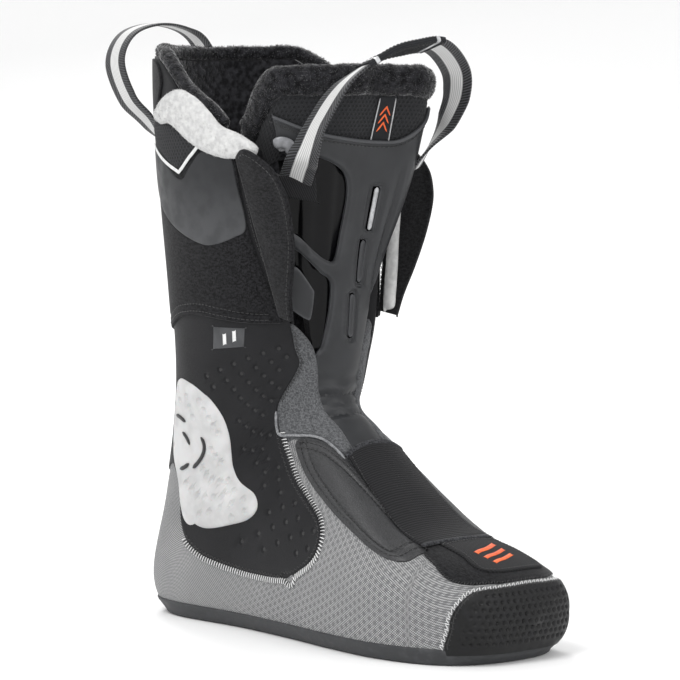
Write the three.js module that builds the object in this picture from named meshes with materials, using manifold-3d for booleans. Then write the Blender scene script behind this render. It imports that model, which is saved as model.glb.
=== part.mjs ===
// Inner boot (removable foam liner) of a right alpine ski boot.
// Frame: toe +X, inner (medial) side +Y, +Z up, origin on the ground under the middle of the sole.
import * as THREE from 'three';
import Module from 'manifold-3d';

const wasm = await Module();
wasm.setup();
const { Manifold, Mesh: SolidMesh } = wasm;

// ---------------------------------------------------------------- driving sizes, mm
const FOAM = 7;              // thickness of the foam wall
const SKIN = 0.3;            // gap kept between a layer and what it lies on
const SOLE_TOP = 9;          // height of the outsole rim
const SOLE_FLARE = 1;        // how far the outsole stands out past the foam
const TONGUE_SIDE_LEAN = 20; // how far the tongue's inner edge stands forward of the boot's surface
const TONGUE_TOP_LEAN = 4;   // the same at the middle of its top

// Cross sections from the toe (row 0) over the heel (row 9) to the cuff rim (row 16):
// [back x, back z, front x, front z, half width, back squareness, front squareness, centre y, widest point]
const SECTIONS = [
  [139, 20, 139, 29, 8, 2.0, 2.0, 9, 0.50],
  [137, 12, 137, 37, 22, 2.2, 2.2, 9, 0.50],
  [131, 4, 131, 45, 35, 3.0, 2.6, 8, 0.50],
  [110, -1, 107, 54, 46, 5.0, 2.8, 5, 0.45],
  [75, -1, 72, 65, 51, 5.5, 2.6, 2, 0.42],
  [35, -1, 46, 85, 48.5, 5.5, 2.4, 1.5, 0.38],
  [-8, -1, 26, 104, 44, 5.0, 2.3, 2, 0.36],
  [-58, -1, 12, 119, 40, 4.8, 2.2, 2, 0.36],
  [-112, -2, 4, 128, 39, 4.6, 2.1, 1, 0.38],
  [-140.5, 13, 1, 135, 39, 3.2, 2.1, 1, 0.40],
  [-133, 58, 0, 144, 41.5, 2.5, 2.1, 1.5, 0.44],
  [-125.5, 100, 0, 157, 45, 2.2, 2.1, 2, 0.48],
  [-118, 140, 1, 178, 50, 2.2, 2.1, 2, 0.50],
  [-119, 188, 4, 212, 53, 2.2, 2.1, 1, 0.50],
  [-122, 240, 11, 252, 58, 2.2, 2.2, 0, 0.50],
  [-124, 285, 18, 290, 62, 2.2, 2.2, 0, 0.50],
  [-125, 322, 25, 322, 64, 2.2, 2.2, 0, 0.50],
];
const RIM = SECTIONS.length - 1;

// Rows and columns shared by every layer, so that two layers never cross.
const ROWS = [0, 0.6, 1.2, 2, 2.6, 3.3, 4, 5, 6, 7, 8, 8.5, 9, 9.5, 10, 10.6, 11.3, 12, 13, 14, 15, 16];
const COLUMNS = 20;

const MATERIALS = {
  charcoal_foam: { color: 0x303134, roughness: 0.62, metalness: 0 },
  grey_mesh: { color: 0x8d8f91, roughness: 0.85, metalness: 0 },
  black_rubber: { color: 0x1d1e20, roughness: 0.7, metalness: 0 },
  sole_rubber: { color: 0x3b3c3f, roughness: 0.55, metalness: 0 },
  white_foam: { color: 0xe6e6e4, roughness: 0.8, metalness: 0 },
  grey_felt: { color: 0x6b6c6f, roughness: 0.95, metalness: 0 },
  black_felt: { color: 0x232325, roughness: 0.95, metalness: 0 },
  grey_film: { color: 0x4c4d50, roughness: 0.45, metalness: 0 },
  black_fleece: { color: 0x1c1c1e, roughness: 1, metalness: 0 },
  white_fleece: { color: 0xe4e3e0, roughness: 1, metalness: 0 },
  black_mesh: { color: 0x202124, roughness: 0.9, metalness: 0 },
  moulded_grey: { color: 0x3d3e41, roughness: 0.4, metalness: 0 },
  gloss_black: { color: 0x0d0d0f, roughness: 0.2, metalness: 0 },
  pale_plastic: { color: 0xb9babc, roughness: 0.35, metalness: 0 },
  webbing: { color: 0x9a9a9b, roughness: 0.8, metalness: 0 },
  elastic_web: { color: 0x3a3a3d, roughness: 0.9, metalness: 0 },
  label_ribbon: { color: 0x2b2b2e, roughness: 0.8, metalness: 0 },
};

// ---------------------------------------------------------------- surface of the boot
const clamp = (x, lo, hi) => Math.min(Math.max(x, lo), hi);
const mix = (a, b, f) => a + (b - a) * f;
const ease = (x) => clamp(x, 0, 1) ** 2 * (3 - 2 * clamp(x, 0, 1));

function section(u) {
  const i = clamp(Math.floor(u), 0, RIM - 1);
  const f = u - i;
  const rows = [Math.max(i - 1, 0), i, i + 1, Math.min(i + 2, RIM)].map((k) => SECTIONS[k]);
  return rows[0].map((_, k) => {
    const [a, b, c, d] = rows.map((row) => row[k]);
    return 0.5 * (2 * b + (c - a) * f + (2 * a - 5 * b + 4 * c - d) * f * f + (3 * b - a - 3 * c + d) * f ** 3);
  });
}

// u runs along the boot, t around it: 0 at the sole and back, +-1 at the front, positive on the outer side.
function surfacePoint(u, t) {
  const [backX, backZ, frontX, frontZ, halfWidth, backPower, frontPower, centreY, widest] = section(u);
  const c = Math.cos(Math.PI * t);
  const s = Math.sin(Math.PI * t);
  const power = 2 / (c > 0 ? backPower : frontPower);
  const depth = c > 0 ? widest * (1 - c ** power) : widest + (1 - widest) * Math.abs(c) ** power;
  const y = centreY - halfWidth * Math.sign(s) * Math.abs(s) ** power;
  return new THREE.Vector3(mix(backX, frontX, depth), y, mix(backZ, frontZ, depth));
}

function surfaceNormal(u, t) {
  const du = 0.12;
  const dt = 0.02;
  const along = surfacePoint(Math.min(u + du, RIM), t).sub(surfacePoint(Math.max(u - du, 0), t));
  const around = surfacePoint(u, t + dt).sub(surfacePoint(u, t - dt));
  return around.cross(along).normalize();
}

function at(u, t, height) {
  return surfacePoint(u, t).addScaledVector(surfaceNormal(u, t), height);
}

// The upper tongue stands out past the boot's surface, most towards its inner side.
function tongueAt(u, t, height) {
  const point = at(u, t, height);
  point.x += TONGUE_SIDE_LEAN * ease((u - 11.8) / 2.6) * ease((t - 1) / 0.24);
  point.x += TONGUE_TOP_LEAN * ease((u - 14) / 1.6) * ease((t - 0.75) / 0.25);
  return point;
}

// ---------------------------------------------------------------- solids
function geometryOf(points, triangles) {
  const geometry = new THREE.BufferGeometry();
  geometry.setAttribute('position', new THREE.Float32BufferAttribute(points.flatMap((p) => [p.x, p.y, p.z]), 3));
  geometry.setIndex(triangles.flat());
  return geometry;
}

function solidOf(geometry) {
  const vertProperties = new Float32Array(geometry.attributes.position.array);
  const solid = new Manifold(new SolidMesh({
    numProp: 3, vertProperties, triVerts: new Uint32Array(geometry.index.array) }));
  return solid;
}

function geometryFrom(solid) {
  const mesh = solid.getMesh();
  const geometry = new THREE.BufferGeometry();
  geometry.setAttribute('position', new THREE.Float32BufferAttribute(mesh.vertProperties, 3));
  geometry.setIndex(Array.from(mesh.triVerts));
  return geometry;
}

function turnedOut(points, triangles) {
  let volume = 0;
  for (const [a, b, c] of triangles) volume += points[a].dot(points[b].clone().cross(points[c]));
  return volume > 0 ? triangles : triangles.map(([a, b, c]) => [a, c, b]);
}

// The whole boot as one solid, `height` outside the foam; `lift` raises its top past the rim.
const bodies = new Map();
function body(height, lift = 0) {
  const key = `${height}/${lift}`;
  if (bodies.has(key)) return bodies.get(key);
  const points = [];
  const triangles = [];
  for (const u of ROWS) {
    for (let j = 0; j < COLUMNS; j++) {
      const p = at(u, -1 + (2 * (j + 0.5)) / COLUMNS, height);
      if (u === RIM) p.z = SECTIONS[RIM][1] + lift;
      points.push(p);
    }
  }
  const id = (i, j) => i * COLUMNS + (j % COLUMNS);
  for (let i = 0; i + 1 < ROWS.length; i++) {
    for (let j = 0; j < COLUMNS; j++) {
      triangles.push([id(i, j), id(i, j + 1), id(i + 1, j)], [id(i + 1, j), id(i, j + 1), id(i + 1, j + 1)]);
    }
  }
  const last = ROWS.length - 1;
  const centre = (i) => {
    const sum = new THREE.Vector3();
    for (let j = 0; j < COLUMNS; j++) sum.add(points[id(i, j)]);
    return sum.divideScalar(COLUMNS);
  };
  const toe = points.push(centre(0)) - 1;
  const top = points.push(centre(last)) - 1;
  for (let j = 0; j < COLUMNS; j++) {
    triangles.push([toe, id(0, j + 1), id(0, j)], [top, id(last, j), id(last, j + 1)]);
  }
  bodies.set(key, solidOf(geometryOf(points, turnedOut(points, triangles))));
  return bodies.get(key);
}

function layer(inner, outer) {
  return body(outer).subtract(body(inner, 10));
}

// A slab over a patch of the surface: place(a, b) gives [u, t, inner height, outer height] for a, b in 0..1,
// and a fifth number raises the point, which carries a cutter past the rim.
function slab(place, na, nb, surface = at) {
  const points = [];
  const triangles = [];
  for (const side of [2, 3]) {
    for (let i = 0; i <= na; i++) {
      for (let j = 0; j <= nb; j++) {
        const spot = place(i / na, j / nb);
        const point = surface(spot[0], spot[1], spot[side]);
        point.z += spot[4] ?? 0;
        points.push(point);
      }
    }
  }
  const id = (side, i, j) => (side * (na + 1) + i) * (nb + 1) + j;
  const quad = (a, b, c, d) => triangles.push([a, b, c], [a, c, d]);
  for (let i = 0; i < na; i++) {
    for (let j = 0; j < nb; j++) {
      quad(id(0, i, j), id(0, i, j + 1), id(0, i + 1, j + 1), id(0, i + 1, j));
      quad(id(1, i, j), id(1, i + 1, j), id(1, i + 1, j + 1), id(1, i, j + 1));
    }
    quad(id(0, i, 0), id(0, i + 1, 0), id(1, i + 1, 0), id(1, i, 0));
    quad(id(0, i, nb), id(1, i, nb), id(1, i + 1, nb), id(0, i + 1, nb));
  }
  for (let j = 0; j < nb; j++) {
    quad(id(0, 0, j), id(1, 0, j), id(1, 0, j + 1), id(0, 0, j + 1));
    quad(id(0, na, j), id(0, na, j + 1), id(1, na, j + 1), id(1, na, j));
  }
  return geometryOf(points, turnedOut(points, triangles));
}

// A slab inside a closed outline of [u, t] points, filled with rings around its middle.
function patch(outline, inner, outer, rings = 3, count = 26, surface = at) {
  const curve = new THREE.CatmullRomCurve3(
    outline.map(([u, t]) => new THREE.Vector3(u, 20 * t, 0)), true, 'centripetal');
  const edge = curve.getSpacedPoints(count).slice(0, count);
  const middle = new THREE.Vector3();
  edge.forEach((p) => middle.addScaledVector(p, 1 / count));
  const points = [];
  const triangles = [];
  for (const height of [inner, outer]) {
    points.push(surface(middle.x, middle.y / 20, height));
    for (let r = 1; r <= rings; r++) {
      for (const p of edge) {
        const q = middle.clone().lerp(p, r / rings);
        points.push(surface(clamp(q.x, 0, RIM), q.y / 20, height));
      }
    }
  }
  const size = 1 + rings * count;
  const id = (side, r, j) => side * size + (r === 0 ? 0 : 1 + (r - 1) * count + (j % count));
  for (let j = 0; j < count; j++) {
    for (const side of [0, 1]) {
      const flip = (a, b, c) => triangles.push(side ? [a, b, c] : [a, c, b]);
      flip(id(side, 0, 0), id(side, 1, j), id(side, 1, j + 1));
      for (let r = 1; r < rings; r++) {
        flip(id(side, r, j), id(side, r + 1, j), id(side, r + 1, j + 1));
        flip(id(side, r, j), id(side, r + 1, j + 1), id(side, r, j + 1));
      }
    }
    triangles.push([id(0, rings, j), id(0, rings, j + 1), id(1, rings, j + 1)]);
    triangles.push([id(0, rings, j), id(1, rings, j + 1), id(1, rings, j)]);
  }
  return geometryOf(points, turnedOut(points, triangles));
}

function mirrored(outline) {
  return outline.map(([u, t]) => [u, -t]);
}

function welded(geometry) {
  const seen = new Map();
  const points = [];
  const index = [];
  const position = geometry.attributes.position;
  const order = geometry.index ? Array.from(geometry.index.array) : [...Array(position.count).keys()];
  for (const i of order) {
    const p = new THREE.Vector3().fromBufferAttribute(position, i);
    const key = [p.x, p.y, p.z].map((v) => Math.round(v * 1e4)).join();
    if (!seen.has(key)) seen.set(key, points.push(p) - 1);
    index.push(seen.get(key));
  }
  return geometryOf(points, [index]);
}

// Piecewise-linear table lookup, used for edges that vary along or around the boot.
function follow(table, x) {
  const k = clamp(table.findIndex(([key]) => key > x), 1, table.length - 1);
  const i = table[table.length - 1][0] <= x ? table.length - 1 : k;
  const [x0, y0] = table[i - 1];
  const [x1, y1] = table[i];
  return mix(y0, y1, clamp((x - x0) / (x1 - x0), 0, 1));
}

// ---------------------------------------------------------------- outlines, [u, t]
const THROAT = [[3.6, 0.93], [4, 0.88], [5, 0.86], [6, 0.845], [7.8, 0.78], [8.6, 0.752], [9.8, 0.748],
  [10.9, 0.812], [11.8, 0.795], [13, 0.75], [14.4, 0.7], [16.6, 0.7]];
const UPPER_EDGE = [[0, 10.5], [0.2, 10.5], [0.34, 10.4], [0.43, 9.8], [0.465, 9.2], [0.48, 8.2], [0.495, 7],
  [0.52, 5.9], [0.575, 5.45], [0.63, 5.4], [0.66, 5.7], [0.675, 6.2], [0.7, 7], [0.735, 8], [0.76, 8.7], [0.86, 8.8]];
const RIM_EDGE = [[0, 15.9], [0.3, 15.95], [0.4, 15.6], [0.455, 15.3], [0.5, 15.15], [0.56, 14.9], [0.6, 14.7],
  [0.66, 14.5], [0.8, 14.2]];
const HEM = [[0, 12.45], [0.3, 12.5], [0.38, 12.54], [0.465, 12.5], [0.54, 12.38], [0.65, 12.2], [0.78, 12.05]];
const WING_SEAM = [[12.05, 0.77], [13.46, 0.66], [14.6, 0.615], [16, 0.6]];
const ANKLE_PAD = [[11.7, 0.33], [11.54, 0.42], [11.12, 0.5], [10.5, 0.565], [9.83, 0.6], [9.08, 0.62], [8.33, 0.625],
  [7.75, 0.625], [7.42, 0.6], [7.5, 0.57], [7.83, 0.545], [8.33, 0.52], [9.04, 0.49], [9.6, 0.45], [10.1, 0.4],
  [10.6, 0.34]];
const SIDE_OVERLAY = [[7.79, 0.79], [7.1, 0.75], [6.54, 0.722], [5.7, 0.712], [4.88, 0.718], [4.3, 0.725],
  [3.75, 0.735], [3.55, 0.77], [3.55, 0.85], [4.04, 0.88], [5.08, 0.872], [6.08, 0.852], [7, 0.82]];
const FILM = [[14.2, 0.615], [13.9, 0.615], [13.5, 0.61], [13.34, 0.57], [13.3, 0.53], [13.42, 0.47], [13.75, 0.36],
  [14, 0.33], [14.15, 0.38], [14.05, 0.46], [14.15, 0.53], [14.22, 0.57]];
const MESH_INSET = [[14.55, 0.34], [14.5, 0.48], [14.32, 0.455], [14.3, 0.4]];
const FLEECE_RIM = [[15.3, 0.45], [15.1, 0.33], [14.85, 0.41], [14.6, 0.51], [14.42, 0.585], [14.4, 0.61], [14.55, 0.625],
  [14.7, 0.61], [14.8, 0.575], [15, 0.52]];
const SIZE_TAG = [[12.14, 0.54], [11.97, 0.63], [11.75, 0.63], [11.85, 0.54]];
const TOE_CAP = [[119, 0], [119.5, 14], [121.5, 26], [125, 34], [130, 40.5], [137, 43], [150, 44], [150, 0]];
const TOE_CAP_CLEAR = TOE_CAP.map(([x, z]) => [x - 0.6, z + 0.6]);
const TOE_FLEECE = [[3.46, 0.92], [3, 0.82], [2.75, 0.755], [2.35, 0.77], [2, 0.86], [1.85, 1], [2, 1.14], [2.35, 1.23],
  [2.75, 1.245], [3, 1.18], [3.46, 1.08]];
const TOE_TAB = [[3.4, 0.945], [3, 0.925], [2.54, 0.885], [2.3, 0.92], [2.17, 0.98], [2.25, 1.08], [2.3, 1.15],
  [2.5, 1.165], [3, 1.145], [3.4, 1.13], [3.44, 1.04]];
const GUSSET_EDGE = [[8.6, 0.852], [9.5, 0.858], [10.8, 0.853], [11.85, 0.83]];
const COVER_TOP = [[0, 15.2], [0.3, 15.3], [0.33, 14.9], [0.41, 14.8], [0.51, 14.5], [0.585, 14.3], [0.78, 14.3]];
// Free edge of a wing ahead of its seam, and how far that edge dips, by height along the seam (0 foot, 1 top).
const WING_WIDTH = [[0, 6], [0.15, 9], [0.3, 18], [0.5, 27], [0.7, 32], [0.85, 31], [1, 14]];
const WING_LIFT = [[0, 0], [0.7, 0], [1, -3]];
const TONGUE_EDGE = [[8.7, 0.878], [10.9, 0.876], [11.9, 0.858], [12.3, 0.845], [13, 0.805], [14, 0.772], [14.9, 0.748],
  [16, 0.75]];
const WINDOW_HIGH = [[14.25, 0.86], [14.1, 0.95], [13.75, 0.98], [12.95, 0.955], [13.05, 0.9], [13.5, 0.83], [14, 0.81]];
const WINDOW_LOW = [[12.5, 0.925], [11.9, 0.925], [11.35, 0.908], [11.5, 0.885], [12.1, 0.885], [12.6, 0.88]];
const SLOTS = [[13.62, 1.065, 0.3, 0.012], [12.86, 1.055, 0.32, 0.011], [11.95, 1.03, 0.32, 0.01]];
// Loop centre lines [x, y, z]; the first point also gives the direction its width lies in, [x, z].
const FRONT_LOOP = [[14, -41, 262, 1, 0.35], [23, -40, 285], [36, -31, 305], [44, -12, 319], [48, 5, 324],
  [48, 25, 325], [42, 47, 313], [36, 56, 299], [31, 53, 284], [26, 45, 268]];
const REAR_LOOP = [[-132, -20, 266, -1, 0], [-137, -28, 282], [-146, -35, 297], [-157, -35, 318], [-162, -22, 334],
  [-162, 0, 340], [-160, 21, 336], [-152, 28, 324], [-142, 27, 304], [-136, 24, 286], [-132, 20, 266]];

// ---------------------------------------------------------------- cutters
const ABOVE = 40;    // how far a cutter reaches past the rim
const ALONG = 18;    // mm per unit of u, about
const AROUND = 150;  // mm per unit of t, about

function throatCutter() {
  return solidOf(slab((a, b) => {
    const u = a === 1 ? RIM : mix(3.6, RIM, a * 20 / 19);
    const edge = follow(THROAT, u);
    return [u, mix(edge, 2 - edge, b), -13, 7, a === 1 ? ABOVE : 0];
  }, 20, 6));
}

// Everything above the edge where the cuff foam ends, its edge moved `gap` mm down and outward.
function upperCutter(gap) {
  const half = UPPER_EDGE.slice(1);
  const line = [...half.map(([t, u]) => [-t, u]).reverse(), UPPER_EDGE[0], ...half];
  const edge = line.map(([t, u], i) => {
    const [t0, u0] = line[Math.max(i - 1, 0)];
    const [t1, u1] = line[Math.min(i + 1, line.length - 1)];
    const out = new THREE.Vector2((u1 - u0) * ALONG, (t0 - t1) * AROUND).normalize().multiplyScalar(gap);
    return [t + out.x / AROUND, u + out.y / ALONG];
  });
  const rows = 8;
  return solidOf(slab((a, b) => {
    const [t, u] = edge[Math.round(b * (edge.length - 1))];
    return [a === 1 ? RIM : mix(u, RIM, a * rows / (rows - 1)), t, -13, 7, a === 1 ? ABOVE : 0];
  }, rows, edge.length - 1));
}

function rimCutter(drop, depth = 14) {
  return solidOf(slab((a, b) => {
    const t = mix(-0.86, 0.86, b);
    return [a === 0 ? follow(RIM_EDGE, Math.abs(t)) - drop : RIM, t, -depth, 9, a === 0 ? 0 : ABOVE];
  }, 1, 24));
}

function sideCutter(outline, y0 = -80, y1 = 80) {
  const shape = new THREE.Shape(outline.map(([x, z]) => new THREE.Vector2(x, z)));
  const geometry = new THREE.ExtrudeGeometry(shape, { depth: y1 - y0, bevelEnabled: false });
  geometry.rotateX(Math.PI / 2);
  geometry.translate(0, y1, 0);
  return solidOf(welded(geometry));
}

function box(x0, x1, y0, y1, z0, z1) {
  const geometry = new THREE.BoxGeometry(x1 - x0, y1 - y0, z1 - z0);
  geometry.translate((x0 + x1) / 2, (y0 + y1) / 2, (z0 + z1) / 2);
  return solidOf(welded(geometry));
}

function patchCutter(outline) {
  return solidOf(patch(outline, -3, 7, 2, 20));
}

// ---------------------------------------------------------------- foot and cuff
function sole() {
  return body(SOLE_FLARE).intersect(box(-200, 200, -150, 150, 0, SOLE_TOP));
}

function insole() {
  return body(-FOAM - 0.5).intersect(box(-200, 200, -150, 150, SOLE_TOP + SKIN, SOLE_TOP + 4));
}

function lowerShell() {
  return layer(-FOAM, 0).intersect(box(-200, 200, -150, 150, SOLE_TOP + SKIN, 200))
    .subtract(upperCutter(0.5)).subtract(throatCutter());
}

function cuffShell() {
  return layer(-FOAM, 0).intersect(upperCutter(0)).subtract(throatCutter()).subtract(rimCutter(0));
}

function toeCap() {
  return layer(SKIN, 1.3).intersect(sideCutter(TOE_CAP)).intersect(box(-200, 200, -150, 150, SOLE_TOP + SKIN, 60));
}

function toeFleece() {
  return layer(SKIN, 1.3).intersect(patchCutter(TOE_FLEECE)).subtract(sideCutter(TOE_CAP_CLEAR));
}

function toeTab() {
  return layer(1.6, 3).intersect(patchCutter(TOE_TAB));
}

function instepElastic() {
  return layer(2.1, 3.1).intersect(solidOf(slab((a, b) => [mix(3.66, 6.1, a), mix(0.882, 1.118, b), 0, 6], 6, 6)));
}

function tongueLower() {
  return slab((a, b) => {
    const u = mix(3.8, 8.5, a);
    const edge = follow(THROAT, u) + 0.022;
    return [u, mix(edge, 2 - edge, b), -6, -0.4];
  }, 9, 6);
}

function gusset(side) {
  return slab((a, b) => {
    const u = mix(8.6, 11.85, a);
    return [u, side * mix(follow(THROAT, u) + 0.014, follow(GUSSET_EDGE, u), b), -3.4, 0];
  }, 9, 2);
}

function overlay(outline, inner, outer) {
  return layer(inner, outer).intersect(patchCutter(outline));
}

function cuffCover() {
  return layer(SKIN, 2.3).intersect(solidOf(slab((a, b) => {
    const t = mix(-1, 1, b);
    const hem = follow(HEM, Math.abs(t) * 0.78);
    const top = follow(COVER_TOP, Math.abs(t) * 0.78);
    const u = mix(hem, top, a);
    return [u, Math.sign(t) * Math.min(Math.abs(t) * 0.78, follow(WING_SEAM, u) - 0.024), -1, 5];
  }, 4, 28)));
}

function collarLining() {
  return layer(-FOAM - 2, -FOAM - SKIN).intersect(solidOf(slab((a, b) => {
    const t = mix(-0.72, 0.72, b);
    return [mix(12, follow(RIM_EDGE, Math.abs(t)) - 0.1, a), t, -13, -3];
  }, 4, 20)));
}

function collarRim() {
  const points = [];
  for (let i = 0; i <= 12; i++) {
    const t = mix(-0.6, 0.6, i / 12);
    const point = at(follow(RIM_EDGE, Math.abs(t)), t, -4);
    point.z += 4.2;
    points.push(point);
  }
  const path = new THREE.CatmullRomCurve3(points);
  const round = new THREE.Shape();
  round.absellipse(0, 0, 3.6, 4.4, 0, Math.PI * 2);
  const roll = solidOf(welded(new THREE.ExtrudeGeometry(round, { steps: 20, curveSegments: 3, extrudePath: path })));
  return roll.subtract(layer(-FOAM - SKIN, SKIN).subtract(rimCutter(-0.03)));
}

// ---------------------------------------------------------------- wings
// Ends of the sewn seam a wing folds about, with y counted outward from the middle of the boot.
function wingSeam(side) {
  return [at(14.45, side * 0.63, 1.3), at(12.15, side * 0.76, 1.3)].map((p) => p.setY(Math.abs(p.y)));
}

function wing(side, inner, outer, inset) {
  const [top, foot] = wingSeam(side);
  const across = new THREE.Vector3(1, 0.06, 0).normalize();
  const outward = top.clone().sub(foot).cross(across).normalize();
  const grid = (a, b, height) => {
    const rise = mix(inset / 90, 1 - inset / 60, a);
    const width = follow(WING_WIDTH, rise) - inset;
    const p = foot.clone().lerp(top, rise).addScaledVector(across, mix(1.2 + inset, width, b));
    p.addScaledVector(outward, height + 1.5 * Math.sin(Math.PI * b));
    p.z += b * follow(WING_LIFT, rise);
    return p;
  };
  const points = [];
  const triangles = [];
  const na = 9;
  const nb = 3;
  for (const height of [inner, outer]) {
    for (let i = 0; i <= na; i++) {
      for (let j = 0; j <= nb; j++) {
        const p = grid(i / na, j / nb, height);
        points.push(new THREE.Vector3(p.x, -p.y * side, p.z));
      }
    }
  }
  const id = (k, i, j) => (k * (na + 1) + i) * (nb + 1) + j;
  const quad = (a, b, c, d) => triangles.push([a, b, c], [a, c, d]);
  for (let i = 0; i < na; i++) {
    for (let j = 0; j < nb; j++) {
      quad(id(0, i, j), id(0, i, j + 1), id(0, i + 1, j + 1), id(0, i + 1, j));
      quad(id(1, i, j), id(1, i + 1, j), id(1, i + 1, j + 1), id(1, i, j + 1));
    }
    quad(id(0, i, 0), id(0, i + 1, 0), id(1, i + 1, 0), id(1, i, 0));
    quad(id(0, i, nb), id(1, i, nb), id(1, i + 1, nb), id(0, i + 1, nb));
  }
  for (let j = 0; j < nb; j++) {
    quad(id(0, 0, j), id(1, 0, j), id(1, 0, j + 1), id(0, 0, j + 1));
    quad(id(0, na, j), id(0, na, j + 1), id(1, na, j + 1), id(1, na, j));
  }
  return geometryOf(points, turnedOut(points, triangles));
}

// ---------------------------------------------------------------- upper tongue
function tongueSlab(bottom, top, inner, outer, na, side = 0) {
  return slab((a, b) => {
    const u = mix(bottom, top, a);
    const edge = follow(TONGUE_EDGE, u) + side;
    return [u, mix(edge, 2 - edge, b), inner, outer];
  }, na, 10, tongueAt);
}

function tonguePlate() {
  let plate = solidOf(tongueSlab(8.72, 14.6, -3.3, -0.6, 14));
  for (const outline of [WINDOW_HIGH, WINDOW_LOW, ...SLOTS.map((slot) => slotOutline(slot, 1))]) {
    plate = plate.subtract(solidOf(patch(outline, -8, 4, 2, 14, tongueAt)));
  }
  return plate;
}

// Rolled top edge; its outer-side end runs down inside the cuff.
function tongueCollar() {
  return slab((a, b) => {
    const t = mix(0.64, 1.26, b);
    const inward = 1 - ease((t - 0.64) / 0.09);
    const u = mix(15.12, 15.68, a) - 0.3 * inward;
    return [u, t, -12 - 9 * inward, -1.5 - 9.5 * inward];
  }, 2, 14, tongueAt);
}

function slotOutline([u, t, half, wide], grow) {
  return [[u - half, t], [u - half * 0.8, t + wide * grow], [u + half * 0.8, t + wide * grow], [u + half, t],
    [u + half * 0.8, t - wide * grow], [u - half * 0.8, t - wide * grow]];
}

function slotInsert(slot) {
  const [u, t, half, wide] = slot;
  return patch(slotOutline([u, t, half * 0.9, wide * 0.62], 1), -3.2, -1.4, 1, 12, tongueAt);
}

function stud() {
  const centre = at(14.35, 0.782, 0.9);
  const axis = surfaceNormal(14.35, 0.782);
  const geometry = new THREE.CapsuleGeometry(2.2, 5, 3, 8);
  geometry.rotateZ(Math.PI / 2);
  geometry.applyQuaternion(new THREE.Quaternion().setFromUnitVectors(new THREE.Vector3(0, 1, 0), axis));
  geometry.translate(centre.x + 2.2, centre.y, centre.z);
  return welded(geometry);
}

// ---------------------------------------------------------------- webbing loops
function ribbon(points, wide, thick, steps) {
  const path = new THREE.CatmullRomCurve3(points.map((p) => new THREE.Vector3(...p)));
  const geometryPoints = [];
  const triangles = [];
  for (let i = 0; i <= steps; i++) {
    const p = path.getPointAt(i / steps);
    const along = path.getTangentAt(i / steps);
    const across = new THREE.Vector3(points[0][3], 0, points[0][4]);
    across.addScaledVector(along, -across.dot(along)).normalize();
    const out = along.clone().cross(across).normalize();
    for (const [w, h] of [[-1, -1], [1, -1], [1, 1], [-1, 1]]) {
      geometryPoints.push(p.clone().addScaledVector(across, (w * wide) / 2).addScaledVector(out, (h * thick) / 2));
    }
  }
  const quad = (a, b, c, d) => triangles.push([a, b, c], [a, c, d]);
  for (let i = 0; i < steps; i++) {
    for (let k = 0; k < 4; k++) {
      const n = (k + 1) % 4;
      quad(4 * i + k, 4 * i + n, 4 * i + 4 + n, 4 * i + 4 + k);
    }
  }
  quad(3, 2, 1, 0);
  const end = 4 * steps;
  quad(end, end + 1, end + 2, end + 3);
  return geometryOf(geometryPoints, turnedOut(geometryPoints, triangles));
}

// ---------------------------------------------------------------- assembly
const group = new THREE.Group();

function add(name, material, shape) {
  const geometry = shape.isBufferGeometry ? shape : geometryFrom(shape);
  geometry.computeVertexNormals();
  const mesh = new THREE.Mesh(geometry, new THREE.MeshStandardMaterial(MATERIALS[material]));
  mesh.name = name;
  group.add(mesh);
}

const SIDES = [['lateral', 1], ['medial', -1]];
const outlineFor = (outline, side) => (side === 1 ? outline : mirrored(outline));

add('sole', 'sole_rubber', sole());
add('insole', 'black_felt', insole());
add('lower_shell', 'grey_mesh', lowerShell());
add('cuff_shell', 'charcoal_foam', cuffShell());
add('toe_cap', 'black_rubber', toeCap());
add('toe_fleece', 'black_fleece', toeFleece());
add('toe_tab', 'label_ribbon', toeTab());
add('instep_elastic', 'elastic_web', instepElastic());
add('tongue_lower', 'moulded_grey', tongueLower());
add('cuff_cover', 'black_felt', cuffCover());
add('collar_lining', 'black_fleece', collarLining());
add('collar_rim', 'black_fleece', collarRim());
add('size_tag', 'grey_film', overlay(SIZE_TAG, SKIN, 1));
for (const [name, side] of SIDES) {
  add(`gusset_${name}`, 'grey_felt', gusset(side));
  add(`ankle_pad_${name}`, 'white_foam', overlay(outlineFor(ANKLE_PAD, side), SKIN, 2.4));
  add(`side_overlay_${name}`, 'moulded_grey', overlay(outlineFor(SIDE_OVERLAY, side), SKIN, 1.8));
  add(`film_patch_${name}`, 'grey_film', overlay(outlineFor(FILM, side), 2.6, 3.2));
  add(`mesh_inset_${name}`, 'black_mesh', overlay(outlineFor(MESH_INSET, side), 2.6, 3.2));
  add(`fleece_rim_${name}`, 'white_fleece', overlay(outlineFor(FLEECE_RIM, side), 2.6, 5));
  add(`${name}_wing`, 'black_felt', wing(side, 0, 2.4, 0));
  add(`${name}_wing_fleece`, 'white_fleece', wing(side, -1.8, -0.3, 4));
}

add('tongue_pad', 'black_felt', tongueSlab(8.72, 15.08, -11, -4.8, 14));
add('tongue_film', 'gloss_black', tongueSlab(8.72, 14.6, -4.1, -3.6, 14));
add('tongue_plate', 'moulded_grey', tonguePlate());
add('tongue_mesh', 'black_mesh', tongueSlab(14.66, 15.08, -4.1, -2.4, 3));
add('tongue_collar', 'black_fleece', tongueCollar());
add('tongue_label', 'label_ribbon', slab((a, b) => [mix(14.68, 15.08, a), mix(1.03, 1.085, b), -2, -1.3], 2, 2, tongueAt));
SLOTS.forEach((slot, i) => add(`slot_insert_${i + 1}`, 'pale_plastic', slotInsert(slot)));
add('lace_stud', 'pale_plastic', stud());

add('tongue_loop', 'webbing', ribbon(FRONT_LOOP, 17, 1.4, 26));
add('rear_loop', 'webbing', ribbon(REAR_LOOP, 16, 1.4, 26));

export default group;
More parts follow.
